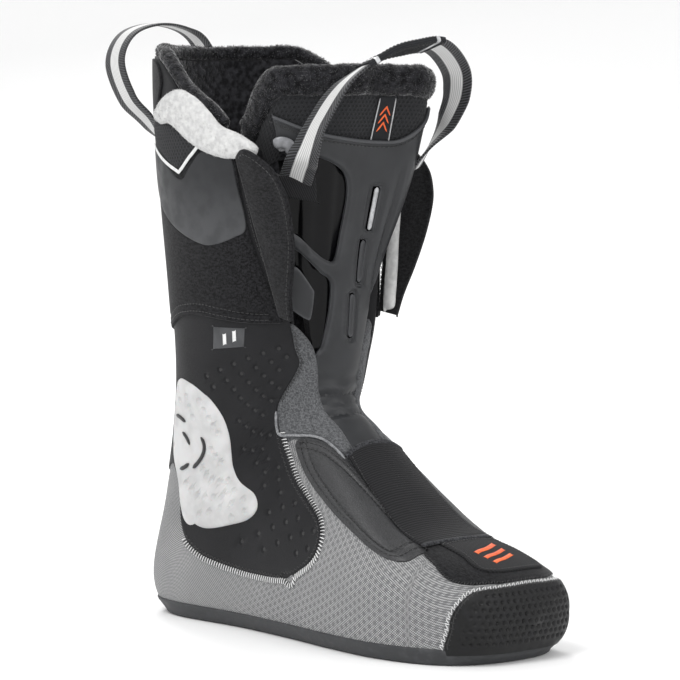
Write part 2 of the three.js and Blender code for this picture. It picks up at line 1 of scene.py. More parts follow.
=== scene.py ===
"""Looks for the inner boot of a right alpine ski boot: toe +X, inner side +Y, +Z up, metres."""

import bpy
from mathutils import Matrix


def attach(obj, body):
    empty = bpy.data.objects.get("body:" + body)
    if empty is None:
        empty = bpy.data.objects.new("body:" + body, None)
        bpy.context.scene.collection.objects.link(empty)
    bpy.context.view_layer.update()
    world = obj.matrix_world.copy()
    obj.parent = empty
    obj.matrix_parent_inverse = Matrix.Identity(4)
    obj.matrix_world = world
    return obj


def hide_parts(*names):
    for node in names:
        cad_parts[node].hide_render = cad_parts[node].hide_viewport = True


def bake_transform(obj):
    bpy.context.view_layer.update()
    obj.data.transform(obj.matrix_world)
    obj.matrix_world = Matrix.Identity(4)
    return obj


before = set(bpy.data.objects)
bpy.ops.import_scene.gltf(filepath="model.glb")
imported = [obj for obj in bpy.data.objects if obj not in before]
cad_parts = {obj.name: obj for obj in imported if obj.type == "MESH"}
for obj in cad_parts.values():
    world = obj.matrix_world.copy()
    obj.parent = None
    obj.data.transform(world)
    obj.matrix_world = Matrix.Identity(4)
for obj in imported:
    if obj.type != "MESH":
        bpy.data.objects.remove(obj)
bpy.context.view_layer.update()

import math
import bpy
import numpy as np
from mathutils import Vector, geometry, kdtree

MM = 0.001
SIDES = ((1, "lateral"), (-1, "medial"))

# Cross sections from the toe (row 0) over the heel (row 9) to the cuff rim (row 16), mm:
# back x, back z, front x, front z, half width, back squareness, front squareness, centre y, widest point
SECTIONS = np.array([
    [139, 20, 139, 29, 8, 2.0, 2.0, 9, 0.50],
    [137, 12, 137, 37, 22, 2.2, 2.2, 9, 0.50],
    [131, 4, 131, 45, 35, 3.0, 2.6, 8, 0.50],
    [110, -1, 107, 54, 46, 5.0, 2.8, 5, 0.45],
    [75, -1, 72, 65, 51, 5.5, 2.6, 2, 0.42],
    [35, -1, 46, 85, 48.5, 5.5, 2.4, 1.5, 0.38],
    [-8, -1, 26, 104, 44, 5.0, 2.3, 2, 0.36],
    [-58, -1, 12, 119, 40, 4.8, 2.2, 2, 0.36],
    [-112, -2, 4, 128, 39, 4.6, 2.1, 1, 0.38],
    [-140.5, 13, 1, 135, 39, 3.2, 2.1, 1, 0.40],
    [-133, 58, 0, 144, 41.5, 2.5, 2.1, 1.5, 0.44],
    [-125.5, 100, 0, 157, 45, 2.2, 2.1, 2, 0.48],
    [-118, 140, 1, 178, 50, 2.2, 2.1, 2, 0.50],
    [-119, 188, 4, 212, 53, 2.2, 2.1, 1, 0.50],
    [-122, 240, 11, 252, 58, 2.2, 2.2, 0, 0.50],
    [-124, 285, 18, 290, 62, 2.2, 2.2, 0, 0.50],
    [-125, 322, 25, 322, 64, 2.2, 2.2, 0, 0.50],
])
RIM = len(SECTIONS) - 1
RISE_PAST_RIM = 37      # mm per unit of u above the last section
TOE_U = -0.97           # where the pieces that close round the toe start
TIP_X, TIP_Y, TIP_Z, TIP_BULGE = 139, 9, 24, 1.2

# Mm per unit of each surface coordinate, roughly, in different places
SIDE_K = (27, 170)
COVER_K = (43, 190)
TAG_K = (36, 170)
TOE_K = (19, 105)
OVERLAY_K = (17, 150)
BAND_K = (17, 120)
GUSSET_K = (13, 150)
TAB_K = (27, 150)
FRONT_K = (1.0, 150.0)
WING_K = (1.0, 1.0)

TOPSTITCH = (2.8, 2.1)  # pitch and length, mm
ROW = 0.866             # spacing of a triangular lattice's rows, as a share of its pitch


# ------------------------------------------------------------------ numbers and vectors
def unit(vectors):
    return vectors / np.linalg.norm(vectors, axis=-1, keepdims=True)


def travelled(points):
    """Length along a line up to each of its points."""
    return np.concatenate([[0], np.cumsum(np.linalg.norm(np.diff(points, axis=0), axis=1))])


def follow(table, x):
    """Straight-line lookup in a table of (key, value)."""
    keys, values = zip(*table)
    return np.interp(x, keys, values)


def ease(x):
    """Smooth rise from 0 to 1."""
    x = np.clip(x, 0, 1)
    return x * x * (3 - 2 * x)


def bulge(x):
    """A quarter circle's rise from 0 to 1."""
    return np.sqrt(np.clip(1 - (1 - np.clip(x, 0, 1)) ** 2, 0, 1))


def ridge(off, wide):
    """A smooth ridge, 1 high where the distance off its crest is 0."""
    return np.exp(-(off / wide) ** 2)


def spline(a, b, c, d, x):
    """The smooth curve from b to c at shares x, with a before them and d after them."""
    bend, twist = 2 * a - 5 * b + 4 * c - d, 3 * b - a - 3 * c + d
    return 0.5 * (2 * b + (c - a) * x + bend * x ** 2 + twist * x ** 3)


def left_of(curve, closed=True):
    """Unit vectors to the left of a flat line."""
    ahead = np.roll(curve, -1, 0) - np.roll(curve, 1, 0) if closed else np.gradient(curve, axis=0)
    return unit(np.stack([-ahead[:, 1], ahead[:, 0]], 1))


def from_ends(n):
    """Steps from each of n points to the nearer end of their line."""
    return np.minimum(np.arange(n), np.arange(n)[::-1])


def rounded_ends(n, steps, least):
    """Sizes along a bar: `least` at its ends, and 1 from so many steps in."""
    return least + (1 - least) * bulge(from_ends(n) / steps)


# ------------------------------------------------------------------ the boot's surface
def spread(u, t):
    return np.broadcast_arrays(np.atleast_1d(u).astype(float), np.atleast_1d(t).astype(float))


def surface(u, t):
    """Points of the boot's outer surface. u runs from the toe over the heel to the rim. t runs round
    it, from 0 at the sole and back to 1 at the front, and is positive on the outer side."""
    u, t = spread(u, t)
    at = np.clip(u, 0, RIM)
    i = np.clip(np.floor(at).astype(int), 0, RIM - 1)
    rows = [SECTIONS[np.clip(i + k, 0, RIM)] for k in (-1, 0, 1, 2)]
    row = spline(*rows, (at - i)[:, None])
    back_x, back_z, front_x, front_z, half, back_square, front_square, centre, widest = row.T
    c, s = np.cos(np.pi * t), np.sin(np.pi * t)
    power = 2 / np.where(c > 0, back_square, front_square)
    reach = np.abs(c) ** power
    depth = np.where(c > 0, widest * (1 - reach), widest + (1 - widest) * reach)
    x = back_x + (front_x - back_x) * depth
    y = centre - half * np.sign(s) * np.abs(s) ** power
    z = back_z + (front_z - back_z) * depth
    shrink = np.clip(1 + u, 0, 1)
    toe = u < 0
    x = np.where(toe, TIP_X + TIP_BULGE * (1 - shrink ** 2), x)
    y = np.where(toe, TIP_Y + (y - TIP_Y) * shrink, y)
    z = np.where(toe, TIP_Z + (z - TIP_Z) * shrink, z) + RISE_PAST_RIM * np.maximum(u - RIM, 0)
    return np.stack([x, y, z], 1)


def boot(u, t, h=0.0):
    """Points h mm outside the surface."""
    u, t = spread(u, t)
    off_tip = np.maximum(u, TOE_U)
    along = surface(u + 0.1, t) - surface(np.maximum(u - 0.1, -0.99), t)
    around = surface(off_tip, t + 0.015) - surface(off_tip, t - 0.015)
    n = np.cross(around, along)
    n /= np.linalg.norm(n, axis=1, keepdims=True) + 1e-9
    n[u < -0.9] = (1, 0, 0)
    return surface(u, t) + n * np.broadcast_to(np.atleast_1d(h), u.shape)[:, None]


def lean(u, t, h=0.0):
    """The tongue's surface: the boot's, standing out further forward towards its top and its inner side."""
    points = boot(u, t, h)
    points[:, 0] += 20 * ease((u - 11.8) / 2.6) * ease((t - 1) / 0.24)
    points[:, 0] += 4 * ease((u - 14) / 1.6) * ease((t - 0.75) / 0.25)
    return points


FRONT_U = np.linspace(0, 16.6, 500)
FRONT_S = travelled(surface(FRONT_U, 1.0))


def front_s(u):
    """Mm along the middle of the front, up to u."""
    return float(np.interp(u, FRONT_U, FRONT_S))


def front(s, t, h=0.0):
    """The tongue's surface with s in mm along the middle of its front."""
    return lean(np.interp(s, FRONT_S, FRONT_U), t, h)


def to_front(points):
    return [(front_s(u), t) for u, t in points]


def slopes(place, a, b):
    """How far a surface's points move, in mm, per unit of each of its coordinates."""
    here = place(a, b, 0.0)
    return (place(a + 0.02, b, 0.0) - here) / 0.02, (place(a, b + 0.002, 0.0) - here) / 0.002


def slope_matrix(place, a, b):
    return np.stack([slope[0] for slope in slopes(place, a, b)], 1)


def measure(place, a, b):
    """Takes small steps of the surface coordinates to mm in the surface's tangent plane."""
    steps = slope_matrix(place, a, b)
    return np.linalg.cholesky(steps.T @ steps).T


# ------------------------------------------------------------------ edges and outlines in (u, t)
def cornered(points):
    """An outline whose points are all corners."""
    return [point for point in points for _ in range(2)]


THROAT = [(3.2, 1.0), (3.6, 0.93), (4, 0.88), (5, 0.86), (6, 0.845), (7.8, 0.78), (8.6, 0.752),
          (9.8, 0.748), (10.9, 0.812), (11.8, 0.795), (13, 0.75), (14.4, 0.7), (16.6, 0.7)]
# (t, u) pairs:
RIM_EDGE = [(0, 15.9), (0.3, 15.95), (0.4, 15.6), (0.455, 15.3), (0.5, 15.15), (0.56, 14.9), (0.6, 14.7),
            (0.66, 14.5), (0.8, 14.2)]
TONGUE_EDGE = [(5.6, 0.925), (6.4, 0.9), (7.6, 0.872), (8.7, 0.868), (10.9, 0.872), (11.9, 0.856),
               (12.3, 0.842), (13, 0.8), (14, 0.765), (14.9, 0.735), (16, 0.74)]
CUFF = [(10.5, 0), (10.45, 0.2), (10.4, 0.32), (10.1, 0.39), (9.75, 0.44), (9.21, 0.472), (8.79, 0.485),
        (8.36, 0.492), (7.8, 0.495), (7.4, 0.494), (7.03, 0.493), (6.65, 0.4954), (6.42, 0.4969),
        (6.24, 0.4984), (6.11, 0.4995), (5.99, 0.5005), (5.906, 0.5035), (5.84, 0.5095), (5.776, 0.5163),
        (5.63, 0.533), (5.53, 0.551), (5.45, 0.573), (5.43, 0.6), (5.47, 0.63), (5.6, 0.652),
        (5.82, 0.666), (6.41, 0.682), (6.92, 0.696), (7.71, 0.734), (8.4, 0.75), (8.9, 0.752),
        (9.33, 0.75), (9.79, 0.745), (10.1, 0.76), (10.55, 0.795), (10.96, 0.818), (11.38, 0.803),
        (11.83, 0.795), (12.6, 0.765), (13.4, 0.73), (14.2, 0.7), (14.45, 0.69), (14.5, 0.66), (14.7, 0.6),
        (14.9, 0.56), (15.15, 0.5), (15.3, 0.455), (15.6, 0.4), (15.92, 0.3), (15.9, 0.15), (15.9, 0)]
COVER = [(12.45, 0), (12.48, 0.15), (12.5, 0.3), (12.54, 0.38), (12.5, 0.465), (12.38, 0.535),
         (12.17, 0.65), (12.03, 0.755), (12.05, 0.772), (12.25, 0.762), (12.6, 0.732), (13.0, 0.7),
         (13.46, 0.667), (14.0, 0.643), (14.42, 0.628), (14.5, 0.61), (14.56, 0.52), (14.92, 0.415),
         (15.1, 0.34), (15.5, 0.37), (15.84, 0.31), (15.86, 0.15), (15.86, 0)]
FILM = [(14.4, 0.6), (14.38, 0.622), (14.0, 0.638), (13.5, 0.662), (13.38, 0.625), (13.33, 0.54),
        (13.46, 0.47), (13.75, 0.36), (14.05, 0.29), (14.45, 0.25), (14.62, 0.27), (14.6, 0.3),
        (14.4, 0.38), (14.16, 0.455), (14.3, 0.49), (14.5, 0.53)]
CHEVRON = [(14.66, 0.275), (14.31, 0.43), (14.29, 0.462), (14.62, 0.528)]
MESH_INSET = [(14.3, 0.45), (14.5, 0.37), (14.78, 0.285), (14.98, 0.31), (14.9, 0.415), (14.6, 0.515),
              (14.45, 0.49)]
FLEECE_RIM = [(15.36, 0.45), (15.22, 0.37), (15.02, 0.32), (14.9, 0.37), (14.88, 0.43), (14.54, 0.52),
              (14.4, 0.59), (14.38, 0.62), (14.38, 0.68), (14.5, 0.695), (14.62, 0.668), (14.72, 0.635),
              (14.84, 0.585), (15.05, 0.548), (15.27, 0.5)]
ANKLE_PAD = [(11.7, 0.33), (11.54, 0.42), (11.12, 0.5), (10.5, 0.565), (9.83, 0.6), (9.08, 0.62),
             (8.33, 0.625), (7.75, 0.625), (7.42, 0.6), (7.46, 0.57), (7.83, 0.545), (8.33, 0.515),
             (9.04, 0.49), (9.5, 0.46), (10.0, 0.41), (10.54, 0.34), (11.1, 0.31)]
GUSSET = [(11.95, 0.79), (11.4, 0.78), (10.9, 0.79), (10.3, 0.75), (10.0, 0.73), (9.4, 0.73),
          (8.62, 0.735), (8.2, 0.75), (7.5, 0.79), (6.9, 0.825), (6.2, 0.86), (5.8, 0.885), (5.9, 0.915),
          (6.6, 0.915), (7.9, 0.898), (8.8, 0.893), (9.7, 0.888), (10.8, 0.885), (11.5, 0.855)]
OVERLAY = [(7.79, 0.78), (7.2, 0.742), (6.54, 0.72), (5.7, 0.712), (4.88, 0.718), (4.3, 0.726),
           (3.78, 0.735), (3.55, 0.765), (3.5, 0.83), (3.5, 0.9), (4.04, 0.925), (5.08, 0.9),
           (6.08, 0.865), (7.0, 0.825)]
ELASTIC = [(6.1, 0.873), (6.1, 0.873), (6.16, 1.0), (6.1, 1.127), (6.1, 1.127), (4.9, 1.135), (3.68, 1.14),
           (3.68, 1.14), (3.52, 1.0), (3.52, 0.87), (3.52, 0.87), (4.8, 0.885)]
TOE_FLEECE = [(3.5, 0.86), (3.2, 0.81), (2.75, 0.74), (2.35, 0.755), (2.0, 0.84), (1.82, 0.93),
              (1.82, 1.07), (2.0, 1.16), (2.35, 1.245), (2.75, 1.26), (3.2, 1.19), (3.5, 1.14), (3.6, 1.0)]
TOE_TAB = [(3.5, 0.935), (3.5, 0.935), (3.0, 0.92), (2.6, 0.885), (2.4, 0.885), (2.22, 0.935), (2.18, 1.0),
           (2.22, 1.08), (2.32, 1.15), (2.5, 1.165), (3.0, 1.15), (3.5, 1.13), (3.5, 1.13), (3.54, 1.03)]
# (t, u) pairs:
CAP_EDGE = [(0, 2.8), (0.4, 2.66), (0.445, 2.62), (0.505, 2.5), (0.59, 2.35), (0.7, 2.18), (0.8, 1.83),
            (0.9, 1.62), (1, 1.58)]
# (t, u) pairs:
PLATE_TOP = [(0.7, 14.95), (0.76, 14.86), (0.85, 14.68), (0.95, 14.58), (1.05, 14.53), (1.12, 14.56),
             (1.2, 14.78), (1.27, 15.08)]
LATTICE = [(11.22, 0.9), (11.6, 0.918), (12.1, 0.937), (12.55, 0.94), (12.72, 0.9), (12.9, 0.86),
           (13.05, 0.825), (13.14, 0.797), (13.14, 0.797), (13.36, 0.79), (13.36, 0.79), (13.24, 0.83),
           (13.05, 0.875), (12.9, 0.92), (12.9, 0.955), (13.3, 0.972), (13.75, 0.984), (14.05, 0.972),
           (14.22, 0.93), (14.34, 0.86), (14.34, 0.79)]
LATTICE_TAB = [(12.85, 0.79), (12.85, 0.79), (12.83, 0.82), (12.51, 0.868), (12.4, 0.875), (12.04, 0.865),
               (11.97, 0.852), (12.2, 0.8), (12.2, 0.8)]
# u, t, half length in u and half width in t:
SLOTS = [(13.6, 1.08, 0.34, 0.015), (12.86, 1.064, 0.33, 0.014), (11.95, 1.034, 0.34, 0.013)]
# mm ahead of the seam, share of the seam's length:
WING = [(1.2, 0), (1.2, 0), (1.2, 0.5), (1.2, 0.98), (1.2, 0.98), (10, 1.03), (20, 1.0), (31, 0.9),
        (35.5, 0.78), (35.8, 0.66), (31.5, 0.46), (25, 0.29), (17.5, 0.12), (13.5, -0.02), (13.5, -0.02)]
WING_PILE = [(4.5, 0.03), (4.5, 0.5), (4.5, 0.84), (7, 0.86), (10.5, 0.8), (12, 0.65), (12, 0.45),
             (12.5, 0.28), (12.5, 0.12), (12, 0.03), (7, 0.01)]
LOOP_TAB = cornered([(14.12, 0.755), (14.12, 0.862), (13.74, 0.87), (13.84, 0.76)])
SIZE_TAG = cornered([(12.26, 0.53), (12.09, 0.642), (11.77, 0.637), (11.93, 0.525)])


def sided(outline, side):
    """An outline of the outer side, taken to the side asked for."""
    return [(u, side * t) for u, t in outline]


def both(half):
    """A closed outline from its outer-side half, which starts and ends on the middle of the back."""
    return half + sided(half[-2:0:-1], -1)


# ------------------------------------------------------------------ outlines to points
def smooth(points, closed=True, per=10):
    """Dense points on a smooth curve through the given ones; a point given twice is a corner."""
    p = np.array(points, float)
    p = np.vstack([p[-1:], p, p[:2]]) if closed else np.vstack([p[:1], p, p[-1:]])
    x = np.linspace(0, 1, per, endpoint=False)[:, None]
    out = np.vstack([spline(*four, x) for four in zip(p[:-3], p[1:-2], p[2:-1], p[3:])])
    return out if closed else np.vstack([out, p[-2]])


def resample(points, step, closed=True):
    """Evenly spaced points on a line, about a step apart."""
    p = np.vstack([points, points[:1]]) if closed else np.asarray(points)
    d = travelled(p)
    n = max(int(round(d[-1] / step)), 6)
    x = np.linspace(0, d[-1], n + (0 if closed else 1), endpoint=not closed)
    return np.stack([np.interp(x, d, p[:, k]) for k in range(p.shape[1])], 1)


def inside(points, ring):
    """Even-odd test of points against a closed ring."""
    hit = np.zeros(len(points), bool)
    x, y = points[:, 0], points[:, 1]
    for (x0, y0), (x1, y1) in zip(ring, np.roll(ring, -1, 0)):
        if y0 != y1:
            hit ^= ((y0 > y) != (y1 > y)) & (x < (x1 - x0) * (y - y0) / (y1 - y0) + x0)
    return hit


def within(points, loops):
    """Which points lie inside the first loop and outside the others."""
    ok = inside(points, loops[0])
    for hole in loops[1:]:
        ok &= ~inside(points, hole)
    return ok


def distance(points, rings):
    """Distance from each point to the nearest ring."""
    best = np.full(len(points), 1e9)
    for ring in rings:
        for a, b in zip(ring, np.roll(ring, -1, 0)):
            ab = b - a
            f = np.clip(((points - a) @ ab) / max(ab @ ab, 1e-12), 0, 1)
            best = np.minimum(best, np.linalg.norm(points - a - f[:, None] * ab, axis=1))
    return best


def triangle_grid(low, high, pitch):
    """Points of a triangular lattice in a box, its rows following each other along the first axis."""
    return np.array([(p, q) for i, p in enumerate(np.arange(low[0], high[0], pitch * ROW))
                     for q in np.arange(low[1] + (i % 2) * pitch / 2, high[1], pitch)])


def scatter(outline, avoid, pitch, clear, low=(-1e9, -1e9), high=(1e9, 1e9)):
    """Lattice points on the boot's side, inside one outline and clear of its edge and of another outline."""
    ring, other = smooth(outline) * SIDE_K, smooth(avoid) * SIDE_K
    points = triangle_grid(ring.min(0), ring.max(0), pitch)
    points = points[inside(points, ring) & ~inside(points, other)]
    points = points[(distance(points, [ring]) > clear) & (distance(points, [other]) > clear)] / SIDE_K
    return points[(points > low).all(1) & (points < high).all(1)]


def offset(outline, k, by, closed=True):
    """An outline moved `by` mm inward, or a line moved to its left."""
    curve = resample(smooth(outline, closed) * k, 1.5, closed)
    side = left_of(curve, closed)
    if closed:
        x, y = curve.T
        side *= np.sign((x * np.roll(y, -1) - np.roll(x, -1) * y).sum())
    return ((curve + side * by) / k)[::2]


def beside(points, by):
    """A line on the boot, moved `by` mm to its left as measured on the surface."""
    line = smooth(points, closed=False, per=14)
    k = np.stack([np.linalg.norm(slope, axis=1) for slope in slopes(boot, *line.T)], 1)
    ahead = np.gradient(line, axis=0) * k
    left = unit(np.stack([-ahead[:, 1], ahead[:, 0]], 1)) / k
    kernel = np.hanning(41) / np.hanning(41).sum()
    left = np.stack([np.convolve(np.pad(part, 20, "edge"), kernel, "valid") for part in left.T], 1)
    return (line + by * left)[::3]


def arc(centre, radius, start, end, count=9):
    """Boot coordinates of an arc, its radius in mm and its angles in degrees up from straight ahead."""
    steps = slope_matrix(boot, *centre)
    facing = unit(np.cross(*steps.T))
    up = unit(np.array([0, 0, 1]) - facing[2] * facing)
    ahead = np.cross(up, facing)
    ahead *= np.sign(ahead[0])
    angle = np.radians(np.linspace(start, end, count))
    spots = radius * (np.cos(angle)[:, None] * ahead + np.sin(angle)[:, None] * up)
    return [tuple(centre + np.linalg.pinv(steps) @ spot) for spot in spots]


# ------------------------------------------------------------------ meshes
def mesh_object(name, points, faces, look, body, uv=None, sharp=38, stands_for=()):
    """A smooth-shaded piece from points in mm."""
    mesh = bpy.data.meshes.new(name)
    mesh.from_pydata((np.asarray(points) * MM).tolist(), [], faces)
    mesh.validate()
    if uv is not None:
        layer = mesh.uv_layers.new(name="UVMap")
        corners = np.empty(len(mesh.loops), np.int32)
        mesh.loops.foreach_get("vertex_index", corners)
        layer.data.foreach_set("uv", np.asarray(uv, np.float32)[corners].ravel())
    mesh.polygons.foreach_set("use_smooth", [True] * len(mesh.polygons))
    mesh.set_sharp_from_angle(angle=math.radians(sharp))
    mesh.materials.append(LOOKS[look])
    piece = bpy.data.objects.new(name, mesh)
    bpy.context.scene.collection.objects.link(piece)
    if body:
        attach(piece, body)
    if stands_for:
        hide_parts(*stands_for)
    return piece


def tube_faces(n, m):
    """Faces between n rings of m points, with both ends closed."""
    i = np.arange(n * m).reshape(n, m)
    j = np.roll(i, -1, 1)
    faces = np.stack([i[:-1], j[:-1], j[1:], i[1:]], -1).reshape(-1, 4).tolist()
    return faces + [i[0, ::-1].tolist(), i[-1].tolist()]


PIT_RINGS = ((0.45, 6), (0.8, 8), (1.15, 10))   # radius as a share of the pit's, and points


def panel_points(loops, k, cell, rings, pits, measures):
    """A panel's flat points: its loops, rows beside them, a lattice between them, and rings in each pit."""
    near = np.vstack([loop - left_of(loop) * s * r for loop in loops for r in rings for s in (-1, 1)])
    wanted = np.concatenate([np.full(len(loop), r) for loop in loops for r in np.repeat(rings, 2)])
    ok = within(near, loops)
    near, wanted = near[ok], wanted[ok]
    near = near[distance(near, loops) > 0.93 * wanted]
    grid = triangle_grid(loops[0].min(0)[::-1], loops[0].max(0)[::-1], cell)[:, ::-1]
    grid = grid[within(grid, loops)]
    grid = grid[distance(grid, loops) > max(rings) + 0.45 * cell]
    spots = []
    for (a, b, radius, _), to_mm in zip(pits, measures):
        centre = np.array([a, b])
        grid = grid[np.linalg.norm((grid / k - centre) @ to_mm.T, axis=1) > radius * 1.45]
        spots.append(centre[None] * k)
        for share, count in PIT_RINGS:
            angle = np.arange(count) * 2 * np.pi / count
            circle = radius * share * np.stack([np.cos(angle), np.sin(angle)], 1)
            spots.append((centre + circle @ np.linalg.inv(to_mm).T) * k)
    return np.vstack(loops + [near, grid] + spots)


def triangulate(flat, loops):
    """Triangles between flat points, kept to the loops; the loops' own points come first."""
    edges, start = [], 0
    for loop in loops:
        n = len(loop)
        edges += [(start + i, start + (i + 1) % n) for i in range(n)]
        start += n
    found, _, faces, *_ = geometry.delaunay_2d_cdt([Vector(p) for p in flat], edges, [], 0, 1e-5)
    flat = np.array([tuple(v) for v in found])
    tris = np.array([face for face in faces if len(face) == 3])
    tris = tris[within(flat[tris].mean(1), loops)]
    used, tris = np.unique(tris, return_inverse=True)
    return flat[used], tris.reshape(-1, 3)


def panel(name, body, look, outlines, k, top, bottom, place=boot, cell=2.4, pits=(), stands_for=(),
          rings=(0.35, 0.9, 1.8), sharp=38):
    """A closed slab over a patch of a surface. The first outline is its edge and the others are holes.
    k is the mm per unit of each coordinate, top and bottom give heights from (a, b, distance to the edge),
    rings are the distances of the first rows of points from the edge, pits are (a, b, radius, depth)."""
    k = np.array(k)
    loops = [resample(smooth(outline) * k, cell * 0.75) for outline in outlines]
    measures = [measure(place, a, b) for a, b, _, _ in pits]
    flat, tris = triangulate(panel_points(loops, k, cell, rings, pits, measures), loops)
    d, ab = distance(flat, loops), flat / k
    up = np.broadcast_to(top(*ab.T, d), d.shape).copy()
    for (a, b, radius, depth), to_mm in zip(pits, measures):
        r = np.linalg.norm((ab - np.array([a, b])) @ to_mm.T, axis=1) / radius
        up -= depth * (1 - ease((r - 0.55) / 0.6))
    points = np.vstack([place(*ab.T, up), place(*ab.T, np.broadcast_to(bottom(*ab.T, d), d.shape))])
    n = len(flat)
    p = points[tris]
    facing = np.cross(p[:, 1] - p[:, 0], p[:, 2] - p[:, 0])
    if (facing * (p.mean(1) - points[tris + n].mean(1))).sum() < 0:
        tris = tris[:, ::-1]
    edges = dict.fromkeys((tri[i], tri[(i + 1) % 3]) for tri in tris.tolist() for i in range(3))
    rim = [(b, a, a + n, b + n) for a, b in edges if (b, a) not in edges]
    faces = tris.tolist() + (tris[:, ::-1] + n).tolist() + rim
    return mesh_object(name, points, faces, look, body, np.tile(flat * 0.01, (2, 1)), sharp, stands_for)


def sheet_grid(name, body, look, place, na, nb, stands_for=()):
    """A closed slab from a regular grid: place(a, b) gives its top and bottom points for shares a and b."""
    a, b = np.meshgrid(np.linspace(0, 1, na + 1), np.linspace(0, 1, nb + 1), indexing="ij")
    top, bottom = place(a.ravel(), b.ravel())
    n = (na + 1) * (nb + 1)
    i = np.arange(n).reshape(na + 1, nb + 1)
    quads = np.stack([i[:-1, :-1], i[:-1, 1:], i[1:, 1:], i[1:, :-1]], -1).reshape(-1, 4)
    p = top[quads]
    facing = np.cross(p[:, 1] - p[:, 0], p[:, 3] - p[:, 0])
    if (facing * (p.mean(1) - bottom[quads].mean(1))).sum() < 0:
        quads = quads[:, ::-1]
        rim = np.concatenate([i[:, 0], i[-1, 1:], i[-2::-1, -1], i[0, -2:0:-1]])
    else:
        rim = np.concatenate([i[0, :], i[1:, -1], i[-1, -2::-1], i[-2:0:-1, 0]])
    after = np.roll(rim, -1)
    sides = np.stack([after, rim, rim + n, after + n], 1)
    faces = quads.tolist() + (quads[:, ::-1] + n).tolist() + sides.tolist()
    grid = top.reshape(na + 1, nb + 1, 3)
    across, along = np.zeros((2, na + 1, nb + 1))
    across[:, 1:] = np.cumsum(np.linalg.norm(np.diff(grid, axis=1), axis=2), 1)
    across -= across[:, nb // 2][:, None]
    along[1:] = np.cumsum(np.linalg.norm(np.diff(grid, axis=0), axis=2), 0)
    along = np.broadcast_to(along[:, nb // 4][:, None], along.shape)
    flat = np.stack([along.ravel(), across.ravel()], 1) * 0.01
    return mesh_object(name, np.vstack([top, bottom]), faces, look, body, np.vstack([flat, flat]),
                       stands_for=stands_for)


def sweep(name, body, look, path, across, wide, thick, sides=12, power=2.4, stands_for=()):
    """A strap or roll: a rounded section carried along path, its width lying along `across`."""
    path = np.asarray(path, float)
    along = unit(np.gradient(path, axis=0))
    across = unit(across - (across * along).sum(1, keepdims=True) * along)
    out = np.cross(along, across)
    angle = np.arange(sides) * 2 * np.pi / sides
    w, h = (np.sign(v) * np.abs(v) ** (2 / power) for v in (np.cos(angle), np.sin(angle)))
    n = len(path)
    wide, thick = (np.broadcast_to(np.atleast_1d(size), n)[:, None, None] for size in (wide, thick))
    points = (path[:, None] + across[:, None] * (w[None, :, None] * wide / 2)
              + out[:, None] * (h[None, :, None] * thick / 2)).reshape(-1, 3)
    uv = np.stack([np.repeat(travelled(path), sides) * 0.01, np.tile(w, n) * 0.5 + 0.5], 1)
    return mesh_object(name, points, tube_faces(n, sides), look, body, uv, 50, stands_for)


def seam_path(points, place=boot, h=0.0, step=0.5, closed=False):
    """Points, directions and outward normals along a line drawn on a surface."""
    a, b = smooth(points, closed).T
    xyz = place(a, b, h)
    up = place(a, b, h + 1.0) - xyz
    line = resample(np.hstack([xyz, up]), step, closed)
    xyz, up = line[:, :3], line[:, 3:]
    return xyz, unit(np.gradient(xyz, axis=0)), unit(up)


# A stitch's sections: place along it, size and lift
STITCH = [(-0.5, 0.35, -0.6), (-0.42, 0.85, -0.1), (0.0, 1.0, 0.25), (0.42, 0.85, -0.1), (0.5, 0.35, -0.6)]
STITCH_SIDES, STITCH_SINK = 6, 0.15


def stitches(name, body, look, line, pitch=3.0, long=2.2, thread=0.5, zigzag=0.0, slant=0.0, shift=0.0):
    """A row of short bowed threads along a line. slant turns them all one way, and zigzag to and fro."""
    d = travelled(line[0])
    spots = np.arange(pitch / 2 + shift, d[-1] - pitch / 2, pitch)
    p, f, n = (np.stack([np.interp(spots, d, part) for part in v.T], 1) for v in line)
    turn = slant + np.where(np.arange(len(spots)) % 2, 1.0, -1.0)[:, None] * zigzag
    f = unit(f * np.sqrt(np.clip(1 - turn ** 2, 0.02, 1)) + np.cross(n, f) * turn)
    g = np.cross(n, f)
    half = thread / 2
    points = []
    for a, size, lift in STITCH:
        for angle in np.arange(STITCH_SIDES) * math.tau / STITCH_SIDES:
            c, s = math.cos(angle), math.sin(angle)
            points.append(p + f * (a * long) + g * (c * size * half)
                          + n * ((s * size + lift) * half + half - STITCH_SINK))
    per = len(points)
    faces = [[v + i * per for v in face] for i in range(len(spots))
             for face in tube_faces(len(STITCH), STITCH_SIDES)]
    return mesh_object(name, np.stack(points, 1).reshape(-1, 3), faces, look, body)


FIBRE_SPREAD, FIBRE_HALF_WIDTH = 0.7, 0.14


